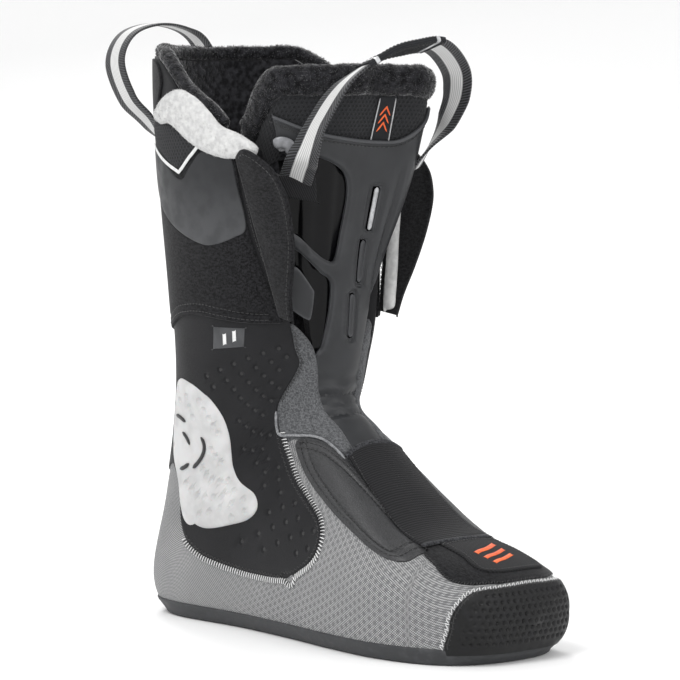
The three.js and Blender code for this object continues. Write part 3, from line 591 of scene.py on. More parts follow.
def fuzz(name, body, look, base, count, long, seed):
    """Short fibres standing on a piece's outer faces, as flat blades in one mesh."""
    rng = np.random.default_rng(seed)
    mesh = base.data
    mesh.calc_loop_triangles()
    tri = np.array([t.vertices[:] for t in mesh.loop_triangles])
    xyz = np.array([v.co[:] for v in mesh.vertices]) / MM
    normal = np.cross(xyz[tri[:, 1]] - xyz[tri[:, 0]], xyz[tri[:, 2]] - xyz[tri[:, 0]])
    area = np.linalg.norm(normal, axis=1)
    pick = rng.choice(len(tri), count, p=area / area.sum())
    w = rng.dirichlet((1, 1, 1), count)
    root = (xyz[tri[pick]] * w[:, :, None]).sum(1)
    n = normal[pick] / area[pick][:, None]
    tip = unit(n + rng.normal(0, FIBRE_SPREAD, (count, 3)))
    tip = np.where(((tip * n).sum(1) < 0.1)[:, None], n, tip)
    side = np.cross(tip, rng.normal(0, 1, (count, 3)))
    side *= FIBRE_HALF_WIDTH / np.linalg.norm(side, axis=1, keepdims=True)
    reach = tip * (long * rng.uniform(0.5, 1.0, (count, 1)))
    bow = np.cross(side, tip) * rng.uniform(-1.5, 1.5, (count, 1))
    waist = root + reach * 0.6 + bow
    points = np.stack([root - side - 0.1 * n, root + side - 0.1 * n, waist + side * 0.6,
                       root + reach + bow * 2.2, waist - side * 0.6], 1).reshape(-1, 3)
    faces = np.arange(5 * count).reshape(-1, 5).tolist()
    return mesh_object(name, points, faces, look, body)


# ------------------------------------------------------------------ materials
def linear(code):
    """A colour for Blender from a six-figure code."""
    if not isinstance(code, str):
        return code
    parts = [int(code[i:i + 2], 16) / 255 for i in (0, 2, 4)]
    return tuple(v / 12.92 if v < 0.04 else ((v + 0.055) / 1.055) ** 2.4 for v in parts) + (1.0,)


class Look:
    """A material being built. Inputs may be numbers, colours or sockets; lengths are in mm."""

    def __init__(self, name, slot, rough=0.8, **constants):
        self.material = bpy.data.materials.new(name)
        self.material.use_nodes = True
        self.material["slot"] = slot
        self.tree = self.material.node_tree
        self.shader = self.tree.nodes["Principled BSDF"]
        self.shader.inputs["Roughness"].default_value = rough
        for key, value in constants.items():
            self.shader.inputs[key.replace("_", " ")].default_value = value
        coordinates = self.tree.nodes.new("ShaderNodeTexCoord")
        self.flat = self.scaled(coordinates.outputs["UV"], 100)
        self.solid = self.scaled(coordinates.outputs["Object"], 1000)
        self.normal = None

    def put(self, socket, value):
        if isinstance(value, bpy.types.NodeSocket):
            self.tree.links.new(value, socket)
        elif value is not None:
            socket.default_value = value

    def node(self, kind, inputs, output=0, **settings):
        """Adds a shader node and gives one of its outputs."""
        node = self.tree.nodes.new("ShaderNode" + kind)
        for key, value in settings.items():
            setattr(node, key, value)
        for key, value in inputs.items():
            self.put(node.inputs[key], value)
        return node.outputs[output]

    def scaled(self, vector, size):
        return self.node("VectorMath", {0: vector, "Scale": size}, operation="SCALE")

    def math(self, operation, a, b=None):
        return self.node("Math", {0: a, 1: b}, operation=operation)

    def axis(self, index, vector):
        return self.node("SeparateXYZ", {0: vector}, index)

    def noise(self, size, detail=2.0, stretch=None):
        vector = self.solid
        if stretch:
            vector = self.node("VectorMath", {0: vector, 1: stretch}, operation="MULTIPLY")
        return self.node("TexNoise", {"Vector": vector, "Scale": 1 / size, "Detail": detail}, "Fac")

    def cracks(self, size):
        """Distance to the borders of irregular cells."""
        return self.node("TexVoronoi", {"Vector": self.solid, "Scale": 1 / size}, "Distance",
                         feature="DISTANCE_TO_EDGE")

    def wave(self, angle, pitch):
        """Cosine stripes, -1 to 1, across the direction `angle` degrees in the flat cloth."""
        k, angle = math.tau / pitch, math.radians(angle)
        across = (k * math.cos(angle), k * math.sin(angle), 0)
        phase = self.node("VectorMath", {0: self.flat, 1: across}, "Value", operation="DOT_PRODUCT")
        return self.math("COSINE", phase)

    def hexagons(self, pitch):
        """Bumps on a triangular lattice, -1.5 to 3."""
        total = self.math("ADD", self.wave(0, pitch * ROW), self.wave(60, pitch * ROW))
        return self.math("ADD", total, self.wave(120, pitch * ROW))

    def step(self, value, low, high, a=0.0, b=1.0):
        """Smooth change from a to b as the value goes from low to high."""
        inputs = {"Value": value, "From Min": low, "From Max": high, "To Min": a, "To Max": b}
        return self.node("MapRange", inputs, interpolation_type="SMOOTHSTEP")

    def mix(self, share, a, b):
        return self.node("Mix", {0: share, 6: linear(a), 7: linear(b)}, 2, data_type="RGBA")

    def colour(self, value):
        self.put(self.shader.inputs["Base Color"], linear(value))

    def tint(self, pattern, low, high, dark, light):
        self.colour(self.mix(self.step(pattern, low, high), dark, light))

    def rough(self, pattern, low, high, a, b):
        self.put(self.shader.inputs["Roughness"], self.step(pattern, low, high, a, b))

    def bump(self, height, depth):
        """Adds relief on top of what is there."""
        inputs = {"Distance": depth * MM, "Strength": 1.0, "Height": height, "Normal": self.normal}
        self.normal = self.node("Bump", inputs)
        self.put(self.shader.inputs["Normal"], self.normal)


def foot_mesh():
    """Woven grey mesh: fine twill over a lattice of small pads, plainer at the heel."""
    look = Look("foot_mesh", "grey_mesh", 0.8, Sheen_Weight=0.1, Sheen_Roughness=0.5, Specular_IOR_Level=0.3)
    twill = look.math("ADD", look.wave(52, 1.05), look.wave(-52, 1.05))
    forward = look.step(look.axis(0, look.solid), -90.0, 0.0, 0.12, 1.0)
    pads = look.math("MULTIPLY", look.step(look.hexagons(4.4), -0.4, 1.8), forward)
    shade = look.mix(look.step(twill, -1.3, 1.5), "4c4d4f", "c0c0c0")
    shade = look.mix(look.math("MULTIPLY", pads, 0.62), shade, "58595b")
    look.colour(look.mix(look.step(look.noise(14, 3), 0.3, 0.75, 0.0, 0.2), shade, "77787a"))
    look.bump(pads, 0.16)
    look.bump(twill, 0.09)
    return look.material


def eva_foam():
    """Smooth-skinned closed-cell foam."""
    look = Look("eva_foam", "charcoal_foam", 0.62, Sheen_Weight=0.03, Specular_IOR_Level=0.18)
    grain = look.noise(0.55, 3)
    look.tint(look.noise(22), 0.3, 0.7, "18181a", "1d1d1f")
    look.rough(grain, 0.3, 0.7, 0.5, 0.66)
    look.bump(grain, 0.05)
    return look.material


def felt(name, slot, dark, light, fibre=0.45, depth=0.16):
    """Brushed felt: tangled short fibres with a soft sheen."""
    look = Look(name, slot, 0.95, Sheen_Weight=0.1, Sheen_Roughness=0.45, Specular_IOR_Level=0.12)
    tangle = look.math("ADD", look.noise(fibre, 4, (1, 1, 0.45)), look.noise(fibre * 2.3, 3, (0.4, 1, 1)))
    look.tint(tangle, 0.72, 1.28, dark, light)
    look.bump(tangle, depth)
    return look.material


def fleece(name, slot, dark, light, sheen=0.8, lump=0.9):
    """Clumped pile."""
    look = Look(name, slot, 1.0, Sheen_Weight=sheen, Sheen_Roughness=0.35, Specular_IOR_Level=0.1)
    clump = look.noise(3.2, 4)
    look.tint(clump, 0.34, 0.66, dark, light)
    look.bump(clump, lump)
    look.bump(look.noise(0.4, 3), 0.18)
    return look.material


def rubber(name, slot, dark, worn, rough):
    """Moulded rubber with paler scuffs."""
    look = Look(name, slot, rough, Specular_IOR_Level=0.3)
    scuff = look.noise(6, 4)
    look.tint(scuff, 0.42, 0.72, dark, worn)
    look.rough(scuff, 0.3, 0.7, rough - 0.08, rough + 0.14)
    look.bump(look.noise(0.35, 3), 0.06)
    return look.material


def moulded():
    """Satin moulded plastic, worn a little paler along its edges."""
    look = Look("moulded_plastic", "moulded_grey", 0.42, Specular_IOR_Level=0.28)
    edge = look.step(look.node("NewGeometry", {}, "Pointiness"), 0.505, 0.56)
    cloud = look.noise(18)
    base = look.mix(look.step(cloud, 0.3, 0.7), "28292b", "303133")
    look.colour(look.mix(look.math("MULTIPLY", edge, 0.5), base, "58595c"))
    look.rough(cloud, 0.25, 0.75, 0.38, 0.5)
    look.bump(look.noise(0.3), 0.035)
    return look.material


def leather():
    """Coated leather with a fine pebble."""
    look = Look("coated_leather", "moulded_grey", 0.4, Specular_IOR_Level=0.5)
    fine = look.noise(0.5, 3)
    crease = look.step(look.cracks(1.1), 0.0, 0.22)
    look.colour(look.mix(crease, "232425", "363638"))
    look.rough(fine, 0.3, 0.7, 0.36, 0.52)
    look.bump(crease, 0.07)
    look.bump(fine, 0.05)
    return look.material


def gloss_film():
    """Rippled glossy black film."""
    look = Look("gloss_film", "gloss_black", 0.14, Specular_IOR_Level=0.16)
    ripple = look.noise(16, 1, (1, 1, 0.25))
    look.tint(ripple, 0.3, 0.7, "030304", "08080a")
    look.rough(ripple, 0.3, 0.7, 0.1, 0.24)
    look.bump(ripple, 0.5)
    return look.material


def grey_film():
    """Satin film that darkens upward."""
    look = Look("satin_film", "grey_film", 0.42, Specular_IOR_Level=0.25)
    cloud = look.noise(9, 3)
    fade = look.step(look.axis(2, look.solid), 215.0, 262.0)
    base = look.mix(fade, "48494b", "2a2b2d")
    look.colour(look.mix(look.step(cloud, 0.35, 0.7, 0.0, 0.35), base, "222325"))
    look.rough(cloud, 0.3, 0.7, 0.34, 0.5)
    look.bump(look.noise(0.4), 0.04)
    return look.material


def plain(name, slot, dark, light, rough, size=3.0, **constants):
    """A smooth plastic, print or thread with slight variation."""
    look = Look(name, slot, rough, **constants)
    look.tint(look.noise(size, 3), 0.3, 0.7, dark, light)
    look.rough(look.noise(size * 2), 0.3, 0.7, rough - 0.06, rough + 0.08)
    look.bump(look.noise(size * 0.15), 0.03)
    return look.material


def white_foam():
    """Soft white foam."""
    look = Look("white_foam", "white_foam", 0.75, Sheen_Weight=0.2, Subsurface_Weight=0.08,
                Subsurface_Scale=0.002)
    look.tint(look.noise(12, 3), 0.32, 0.7, "b6b6b6", "c9c9c9")
    look.bump(look.noise(0.5, 3), 0.06)
    return look.material


def knit(name, slot, dark, light, pitch=2.6):
    """Hex-patterned knit."""
    look = Look(name, slot, 0.9, Sheen_Weight=0.08, Sheen_Roughness=0.5, Specular_IOR_Level=0.2)
    hexes = look.step(look.hexagons(pitch), -0.9, 1.6)
    yarn = look.math("ADD", look.wave(35, 0.6), look.wave(-35, 0.6))
    shade = look.mix(look.step(yarn, -1.4, 1.8), dark, light)
    look.colour(look.mix(look.math("MULTIPLY", hexes, 0.55), shade, dark))
    look.bump(hexes, 0.35)
    look.bump(yarn, 0.08)
    return look.material


def ribbed(name, slot, dark, light, angle, pitch):
    """Ribbed tape or elastic."""
    look = Look(name, slot, 0.85, Sheen_Weight=0.05, Sheen_Roughness=0.4, Specular_IOR_Level=0.2)
    yarn = look.wave(angle + 90, pitch * 0.6)
    ribs = look.math("ADD", look.wave(angle, pitch), look.math("MULTIPLY", yarn, 0.6))
    look.tint(ribs, -1.3, 1.3, dark, light)
    look.bump(ribs, pitch * 0.09)
    return look.material


def webbing():
    """Woven tape: smooth white middle with fine lengthwise lines, black herringbone edges."""
    look = Look("woven_tape", "webbing", 0.7, Sheen_Weight=0.3, Sheen_Roughness=0.4)
    along, across = (look.axis(i, look.scaled(look.flat, 0.01)) for i in (0, 1))
    off = look.math("ABSOLUTE", look.math("SUBTRACT", across, 0.5))
    edge = look.step(off, 0.205, 0.225)
    slant = look.math("ADD", look.math("MULTIPLY", along, 100 * math.tau / 1.7),
                      look.math("MULTIPLY", off, 42.0))
    bone = look.math("COSINE", slant)
    lines = look.math("COSINE", look.math("MULTIPLY", off, 95.0))
    weft = look.math("COSINE", look.math("MULTIPLY", along, 100 * math.tau / 0.7))
    white = look.mix(look.step(lines, -0.2, 0.95), "dededd", "a9a9a9")
    white = look.mix(look.step(weft, 0.0, 1.0, 0.0, 0.25), white, "8f8f90")
    black = look.mix(look.step(bone, -0.2, 0.9), "0c0c0d", "45464a")
    look.colour(look.mix(edge, white, black))
    look.bump(look.math("ADD", look.math("MULTIPLY", bone, edge), look.math("MULTIPLY", weft, 0.25)), 0.14)
    return look.material


LOOKS = {
    "foot_mesh": foot_mesh(),
    "eva": eva_foam(),
    "black_felt": felt("black_felt", "black_felt", "0d0d0e", "29292b"),
    "grey_felt": felt("grey_felt", "grey_felt", "3d3e40", "696a6c", fibre=0.4, depth=0.2),
    "piping": felt("piping_felt", "grey_felt", "66676a", "98999b", fibre=0.6, depth=0.15),
    "insole_felt": felt("insole_felt", "black_felt", "17171a", "242427"),
    "black_fleece": fleece("black_fleece", "black_fleece", "0e0e10", "2c2c2f"),
    "white_fleece": fleece("white_fleece", "white_fleece", "c2c2c2", "d4d4d3", sheen=0.25, lump=0.35),
    "cap_rubber": rubber("cap_rubber", "black_rubber", "0c0c0d", "161618", 0.45),
    "sole_rubber": rubber("sole_rubber", "sole_rubber", "38393b", "47484a", 0.5),
    "moulded": moulded(),
    "leather": leather(),
    "gloss_film": gloss_film(),
    "grey_film": grey_film(),
    "white_foam": white_foam(),
    "white_print": plain("white_print", "pale_plastic", "cfd0d0", "e4e4e3", 0.45),
    "orange_print": plain("orange_print", "label_ribbon", "d8531d", "ee6a2a", 0.5),
    "pale_plastic": plain("pale_plastic", "pale_plastic", "9a9b9d", "b9babc", 0.3, Coat_Weight=0.4),
    "stud_plastic": plain("stud_plastic", "pale_plastic", "6a6b6e", "85868a", 0.35, Coat_Weight=0.3),
    "smoke_plastic": plain("smoke_plastic", "pale_plastic", "4a4b4e", "5f6063", 0.25, Coat_Weight=0.5),
    "light_thread": plain("light_thread", "grey_mesh", "d0d0d0", "ececec", 0.7, 0.8, Sheen_Weight=0.3),
    "black_thread": plain("black_thread", "black_felt", "060607", "141416", 0.6, 0.8, Sheen_Weight=0.3),
    "black_knit": knit("black_knit", "black_mesh", "0b0b0d", "3b3c3f"),
    "inset_mesh": knit("inset_mesh", "black_mesh", "101013", "3f4043", 2.2),
    "elastic": ribbed("elastic", "elastic_web", "131314", "29292b", 0, 0.9),
    "ribbon": ribbed("ribbon", "label_ribbon", "0e0e0f", "2a2a2c", 60, 0.8),
    "label_tape": ribbed("label_tape", "label_ribbon", "18191b", "2c2d30", 90, 0.5),
    "binding": felt("binding", "elastic_web", "1b1b1d", "47484b", fibre=0.5, depth=0.12),
    "webbing": webbing(),
}


# ------------------------------------------------------------------ profiles, seams and solids
def level(height):
    return lambda a, b, d: np.full_like(d, height)


def rounded(height, drop, over):
    """Flat, with its edge rounded off."""
    return lambda a, b, d: height - drop * (1 - bulge(d / over))


def crowned(edge, crown, over):
    """Rises from its edge to a crown `over` mm in."""
    return lambda a, b, d: edge + (crown - edge) * bulge(d / over)


def sewn(name, outline, k, by, h, **kind):
    """Black stitches on the boot, `by` mm inside an outline."""
    line = seam_path(offset(outline, k, by), boot, h, closed=True)
    return stitches(name, "boot", "black_thread", line, **kind)


def roll(name, body, look, points, h, wide, place=boot, thick=None):
    """A piping or bead laid along a line on the surface."""
    xyz, along, up = seam_path(points, place, h, step=1.0)
    taper = np.clip(0.35 + from_ends(len(xyz)) / 2.5, 0, 1)
    thick = wide if thick is None else thick
    return sweep(name, body, look, xyz, np.cross(up, along), wide * taper, thick * taper, 10, 2.0)


PLAN_Y, PLAN_STRETCH = 4, 2.5   # middle of the foot, and how much longer than wide it is taken to be


def plan(z, h, bearings):
    """The boot's outline at height z, as points at the given bearings from its middle."""
    u, t = np.meshgrid(np.linspace(-0.95, 10.8, 180), np.linspace(-1, 1, 300), indexing="ij")
    p = boot(u.ravel(), t.ravel(), h).reshape(*u.shape, 3)
    found = []
    for a, b in ((p[:, :-1], p[:, 1:]), (p[:-1], p[1:])):
        crossing = (a[..., 2] > z) != (b[..., 2] > z)
        a, b = a[crossing], b[crossing]
        found.append(a + (b - a) * ((z - a[:, 2]) / (b[:, 2] - a[:, 2]))[:, None])
    x, y, _ = np.vstack(found).T
    y = (y - PLAN_Y) * PLAN_STRETCH
    bearing, reach = np.arctan2(y, x), np.hypot(x, y)
    order = np.argsort(bearing)
    reach = np.interp(bearings, bearing[order], reach[order], period=math.tau)
    return np.stack([np.cos(bearings) * reach, PLAN_Y + np.sin(bearings) * reach / PLAN_STRETCH], 1)


def stacked(name, look, h, rings, stands_for):
    """A solid of the boot's outlines at several heights: rings are (z, height of the outline, inset)."""
    bearings = np.linspace(-math.pi, math.pi, 240, endpoint=False)
    points = []
    for z, taken_at, inset in rings:
        loop = plan(taken_at, h, bearings)
        loop = loop + left_of(loop) * inset
        points.append(np.hstack([loop, np.full((len(loop), 1), z)]))
    points = np.vstack(points)
    faces = tube_faces(len(rings), len(bearings))
    return mesh_object(name, points, faces, look, "boot", points[:, :2] * 0.01, 45, stands_for)


# ------------------------------------------------------------------ foot
def sole():
    rings = [(0, 3, 3.4), (0.3, 3, 1.9), (1.1, 3, 0.7), (2.4, 3, 0.1), (4.5, 4.5, 0), (7.6, 7.6, 0),
             (8.6, 8.6, 0.15), (9.2, 9.2, 0.6), (9.4, 9.4, 1.3), (9.4, 9.4, 5)]
    stacked("sole_rand", "sole_rubber", 1.1, rings, ["sole"])


def insole():
    rings = [(9.5, 10, 1.2), (10.2, 10.2, 0.2), (12.2, 12.2, 0.2), (12.9, 12.9, 1.0), (13, 13, 3)]
    stacked("footbed", "insole_felt", -7.4, rings, ["insole"])


def foot_skin():
    def place(a, b):
        u = TOE_U + a * 12.2
        edge = np.where(u < 3.2, 1.0, follow(THROAT, u)) - 0.012 * (u > 8)
        t = (2 * b - 1) * edge
        top, bottom = boot(u, t, 0), boot(u, t, -6.4)
        top[:, 2] = np.maximum(top[:, 2], 5)
        bottom[:, 2] = np.maximum(bottom[:, 2], 5.6)
        return top, bottom
    sheet_grid("foot_mesh_upper", "boot", "foot_mesh", place, 150, 150, ["lower_shell"])


def cap_dots():
    """Finds the nearest of the dimples, which lie in staggered rows round the toe."""
    bearings = np.linspace(-1.2, 1.2, 1200)
    spots = []
    for i, z in enumerate(np.arange(12.5, 44, 3.6)):
        loop = plan(z, 0.5, bearings)
        loop = loop[loop[:, 0] > 105]
        run = travelled(loop)
        for d in np.arange((i % 2) * 2.1, run[-1], 4.2):
            spots.append((*(np.interp(d, run, part) for part in loop.T), z))
    tree = kdtree.KDTree(len(spots))
    for i, spot in enumerate(spots):
        tree.insert(spot, i)
    tree.balance()
    return tree


def toe_cap():
    tree = cap_dots()

    def place(a, b):
        t = 2 * b
        edge = follow(CAP_EDGE, np.minimum(t, 2 - t))
        u = TOE_U + a * (edge - TOE_U)
        from_edge = (edge - u) * 16
        away = np.array([tree.find(p)[2] for p in boot(u, t, 0.5)])
        dots = (1 - ease(away / 1.7)) * ease((from_edge - 3.5) / 2)
        top, bottom = boot(u, t, 0.6 + 0.8 * bulge(from_edge / 1.2) - 1.1 * dots), boot(u, t, -0.3)
        top[:, 2], bottom[:, 2] = np.maximum(top[:, 2], 6), np.maximum(bottom[:, 2], 6.5)
        return top, bottom
    sheet_grid("toe_bumper", "boot", "cap_rubber", place, 120, 340, ["toe_cap"])
    edge = [(u, t) for t, u in CAP_EDGE[1:]]
    edge += [(u, 2 - t) for u, t in edge[-2::-1]]
    for name, look, shift, h, kind in (
            ("seam", "light_thread", 0.05, 0.9, dict(long=2.6, zigzag=0.25, slant=0.9)),
            ("seam_dark", "black_thread", -0.07, 1.25, dict(long=2.4, zigzag=0.5, slant=0.7))):
        line = seam_path([(u + shift, t) for u, t in edge], boot, h)
        stitches(f"toe_bumper_{name}", "boot", look, line, pitch=1.5, **kind)


def toe_top():
    piece = panel("toe_fleece_panel", "boot", "black_felt", [TOE_FLEECE], TOE_K, rounded(1.3, 0.7, 1.2),
                  level(-0.2), stands_for=["toe_fleece"])
    sewn("toe_fleece_seam", TOE_FLEECE, TOE_K, 0.2, 1.0, pitch=1.6, slant=0.9, zigzag=0.2)
    piece = panel("toe_pull_tab", "boot", "ribbon", [TOE_TAB], TOE_K, rounded(2.6, 0.6, 0.8), level(1.0),
                  stands_for=["toe_tab"])
    sewn("toe_pull_tab_seam", TOE_TAB, TOE_K, 1.6, 2.55, pitch=2.2, long=1.6)
    for i in range(3):
        u = 2.52 + 0.21 * i
        bar = cornered([(u, 0.975), (u + 0.09, 0.975), (u + 0.32, 1.055), (u + 0.23, 1.055)])
        panel(f"toe_pull_tab_bar_{i + 1}", "boot", "orange_print", [bar], TOE_K, rounded(2.85, 0.15, 0.3),
              level(2.3), cell=1.0, rings=(0.3,))


def side_overlay(side, name):
    outline = sided(OVERLAY, side)
    seams = (2.4, 5.2)      # mm from the edge

    def top(a, b, d):
        swell = 0.7 + 1.3 * ease(d / 2.6) + 0.7 * ease((d - 5.5) / 6)
        return swell - 0.55 * ridge(d - seams[0], 0.6) - 0.45 * ridge(d - seams[1], 0.6)
    piece = panel(f"instep_overlay_{name}", "boot", "leather", [outline], OVERLAY_K, top, level(-0.2),
                  cell=1.7, rings=(0.35, 0.9, 1.6, 2.4, 3.3, 4.3, 5.2, 6.2),
                  stands_for=[f"side_overlay_{name}"])
    for i, by in enumerate(seams):
        sewn(f"instep_overlay_seam_{name}_{i + 1}", outline, OVERLAY_K, by, 1.62 + 0.4 * i, pitch=3.2,
             long=2.3, thread=0.55)


def elastic():
    band = panel("instep_elastic_band", "boot", "elastic", [ELASTIC], BAND_K, rounded(3.0, 0.5, 0.8),
                 level(1.3), stands_for=["instep_elastic"])
    for name, ends in (("upper", [(6.1, 0.868), (6.17, 0.94), (6.18, 1.0), (6.17, 1.06), (6.1, 1.132)]),
                       ("lower", [(3.57, 0.865), (3.53, 0.94), (3.52, 1.0), (3.53, 1.06), (3.62, 1.135)])):
        roll(f"instep_elastic_binding_{name}", "boot", "binding", ends, 2.6, 3.4, thick=1.9)
    for i, (t, bow) in enumerate(((0.885, -0.004), (1.115, 0.004))):
        line = seam_path([(6.0, t), (4.9, t + bow), (3.75, t)], boot, 2.95)
        stitches(f"instep_elastic_seam_{i + 1}", "boot", "black_thread", line, 2.4, 1.8)


# ------------------------------------------------------------------ cuff
def hole_shade(spots):
    """Painted shade: dark discs at the bottoms of the foam's ventilation holes."""
    sides = 10
    points, faces = [], []
    for i, (u, t) in enumerate(spots):
        rim = np.array(arc((u, t), 1.3, 0, 324, sides))
        points += [boot(*rim.T, 0.26), boot(u, t, 0.22)]
        first = (sides + 1) * i
        faces += [(first + j, first + (j + 1) % sides, first + sides)[::1 if t > 0 else -1]
                  for j in range(sides)]
    # Painted shade: black discs sit in the pits so that the holes read darker than their own shading makes
    # them.
    mesh_object("cuff_foam_hole_shade", np.vstack(points), faces, "black_thread", "boot")


def cuff():
    holes = scatter(both(CUFF), ANKLE_PAD, 8.6, 4.4, (5.3, 0.05), (11.7, 0.8))
    holes = [(u, t * side) for u, t in holes for side in (1, -1)]
    foam = panel("cuff_foam", "boot", "eva", [both(CUFF)], SIDE_K, rounded(1.0, 0.7, 1.0), level(-7.0),
                 cell=3.0, pits=[(u, t, 2.0, 0.85) for u, t in holes], stands_for=["cuff_shell"])
    hole_shade(holes)
    low = [(u, t) for u, t in CUFF if 5.2 < u < 9.0 and 0.45 < t < 0.76]
    for side, name in SIDES:
        for i, (look, by, h, kind) in enumerate((
                ("light_thread", 1.5, 0.45, dict(pitch=2.0, long=3.4, thread=0.8, slant=0.97)),
                ("black_thread", 1.3, 0.45, dict(pitch=2.0, long=3.2, thread=0.8, slant=0.95, shift=1.0)),
                ("black_thread", -2.2, 0.85, dict(pitch=1.5, long=2.0, zigzag=0.75)))):
            line = seam_path(beside(sided(low, side), by * side), boot, h)
            stitches(f"cuff_flatlock_{name}_{i + 1}", "boot", look, line, **kind)


def ankle_pad(side, name):
    centre = np.array([10.5, 0.405 * side])
    outer, inner = 17, 9.5      # radii of the slits, mm
    avoid = arc(centre, outer, -70, 100, 12) + arc(centre, inner, -70, 80, 8)
    outline = sided(ANKLE_PAD, side)
    dots = scatter(outline, avoid, 7.2, 2.8)
    piece = panel(f"ankle_foam_{name}", "boot", "white_foam", [outline], SIDE_K, crowned(1.0, 2.9, 6.5),
                  level(0.4), cell=1.9, pits=[(u, t, 1.9, 1.0) for u, t in dots],
                  stands_for=[f"ankle_pad_{name}"])
    # Black beads along the slits: painted shade in the cuts of the foam.
    for i, slit in enumerate(((outer, -58, 14), (outer, 62, 96), (inner, 6, 62), (13, -88, -56))):
        roll(f"ankle_foam_slit_shade_{name}_{i + 1}", "boot", "black_thread", arc(centre, *slit), 3.3, 2.4,
             thick=1.2)


def gusset(side, name):
    panel(f"gusset_felt_{name}", "boot", "grey_felt", [sided(GUSSET, side)], GUSSET_K, crowned(-2.2, 0.5, 5),
          level(-3.6), stands_for=[f"gusset_{name}"])
    foot = [(9.7, 0.742), (9.1, 0.746), (8.62, 0.752), (8.0, 0.785), (7.42, 0.815), (6.8, 0.84),
            (6.1, 0.862)]
    roll(f"gusset_piping_{name}", "boot", "piping", sided(foot, side), 0.8, 1.6)
    back = [(11.8, 0.806), (11.3, 0.812), (10.9, 0.826), (10.4, 0.79), (9.9, 0.756)]
    line = seam_path(sided(back, side), boot, 0.75)
    stitches(f"gusset_seam_{name}", "boot", "black_thread", line, 1.9, 2.3, slant=0.8, zigzag=0.3)


def cover():
    flat = rounded(2.5, 0.7, 1.1)
    seams = (2.4, 6.2)      # mm from the hem

    def top(a, b, d):
        wave = 0.22 * np.sin(a * 2.3 + 5 * np.sin(b * 4)) + 0.16 * np.sin(b * 17 + a * 3.1)
        return flat(a, b, d) + wave * ease(d / 6) * 0.8 - 0.5 * ridge(d - seams[1], 0.8) * (a < 12.9)
    piece = panel("cuff_wrap", "boot", "black_felt", [both(COVER)], COVER_K, top, level(0.5), cell=2.8,
                  rings=(0.4, 1.0, 2.0, 3.6, 4.9, 5.6, 6.2, 6.8, 7.6), stands_for=["cuff_cover"])
    half = [(12.42, 0)] + COVER[1:7] + [(12.06, 0.735)]
    hem = sided(half[:0:-1], -1) + half
    for i, (by, h) in enumerate(zip(seams, (2.45, 2.05))):
        line = seam_path(offset(hem, COVER_K, -by, closed=False), boot, h)
        stitches(f"cuff_wrap_hem_{i + 1}", "boot", "black_thread", line, *TOPSTITCH)
    for side, name in SIDES:
        path = offset(sided(COVER[9:15], side), COVER_K, 2.6 * side, closed=False)
        line = seam_path(path, boot, 2.45)
        stitches(f"cuff_wrap_wing_seam_{name}", "boot", "black_thread", line, *TOPSTITCH)


def cuff_details(side, name):
    def patch(piece, look, outline, top, bottom, node, **kind):
        return panel(f"{piece}_{name}", "boot", look, [sided(outline, side)], COVER_K, top, level(bottom),
                     stands_for=[f"{node}_{name}"], **kind)

    def pile(a, b, d):
        return crowned(2.2, 5.6, 6)(a, b, d) + 0.5 * np.sin(a * 31) * np.sin(b * 90) * ease(d / 3)
    patch("film_window", "grey_film", FILM, rounded(3.1, 0.4, 0.6), 1.6, "film_patch")
    patch("inset_knit", "inset_mesh", MESH_INSET, crowned(2.4, 3.3, 4), 1.6, "mesh_inset")
    roll(f"film_trim_{name}", "boot", "white_print", sided(CHEVRON, side), 3.15, 2.1, thick=0.8)
    rim = patch("rim_fleece", "white_fleece", FLEECE_RIM, pile, 0.6, "fleece_rim", cell=1.8)
    fuzz(f"rim_fleece_pile_{name}", "boot", "white_fleece", rim, 3600, 0.9, 11 if side > 0 else 12)


def lining():
    def place(a, b):
        t = (2 * b - 1) * 0.7
        rim = follow(RIM_EDGE, np.abs(t)) - 0.08
        u = 11.9 + a * (rim - 11.9)
        lump = (0.5 * np.sin(u * 9 + 3 * np.sin(t * 8)) * np.sin(t * 23 + u * 2)
                + 0.3 * np.sin(u * 21 + t * 37))
        crease = 1.3 * ridge(t - 0.2 - 0.04 * (u - 14), 0.025)
        return boot(u, t, -9.0 - lump + crease), boot(u, t, -6.9)
    piece = sheet_grid("collar_lining_fleece", "boot", "black_fleece", place, 70, 120, ["collar_lining"])


def rim_roll():
    n = 120
    t = np.linspace(-0.6, 0.6, n)
    u = follow(RIM_EDGE, np.abs(t))
    path = np.stack([np.convolve(np.pad(part, 4, mode="edge"), np.ones(9) / 9, "valid")
                     for part in boot(u, t, -4.0).T], 1)
    path[:, 2] += 2.2
    out = boot(u, t, 1.0) - boot(u, t, 0.0)
    size = rounded_ends(n, 5, 0.3) * (1 + 0.05 * np.sin(t * 40) + 0.03 * np.sin(t * 97))
    piece = sweep("rim_fleece_roll", "boot", "black_fleece", path, out, 8.8 * size, 8.4 * size, 18, 2.2,
                  ["collar_rim"])
    fuzz("rim_fleece_roll_pile", "boot", "black_fleece", piece, 9000, 1.3, 5)


def size_tag():
    panel("woven_tag", "boot", "grey_film", [SIZE_TAG], TAG_K, rounded(1.5, 0.3, 0.5), level(0.5), cell=1.6,
          stands_for=["size_tag"])
    for i, t in enumerate((0.565, 0.6)):
        bar = cornered([(11.93, t), (11.93, t + 0.012), (12.1, t + 0.012), (12.1, t)])
        panel(f"woven_tag_bar_{i + 1}", "boot", "white_print", [bar], TAG_K, level(1.65), level(1.3),
              cell=1.0, rings=(0.3,))


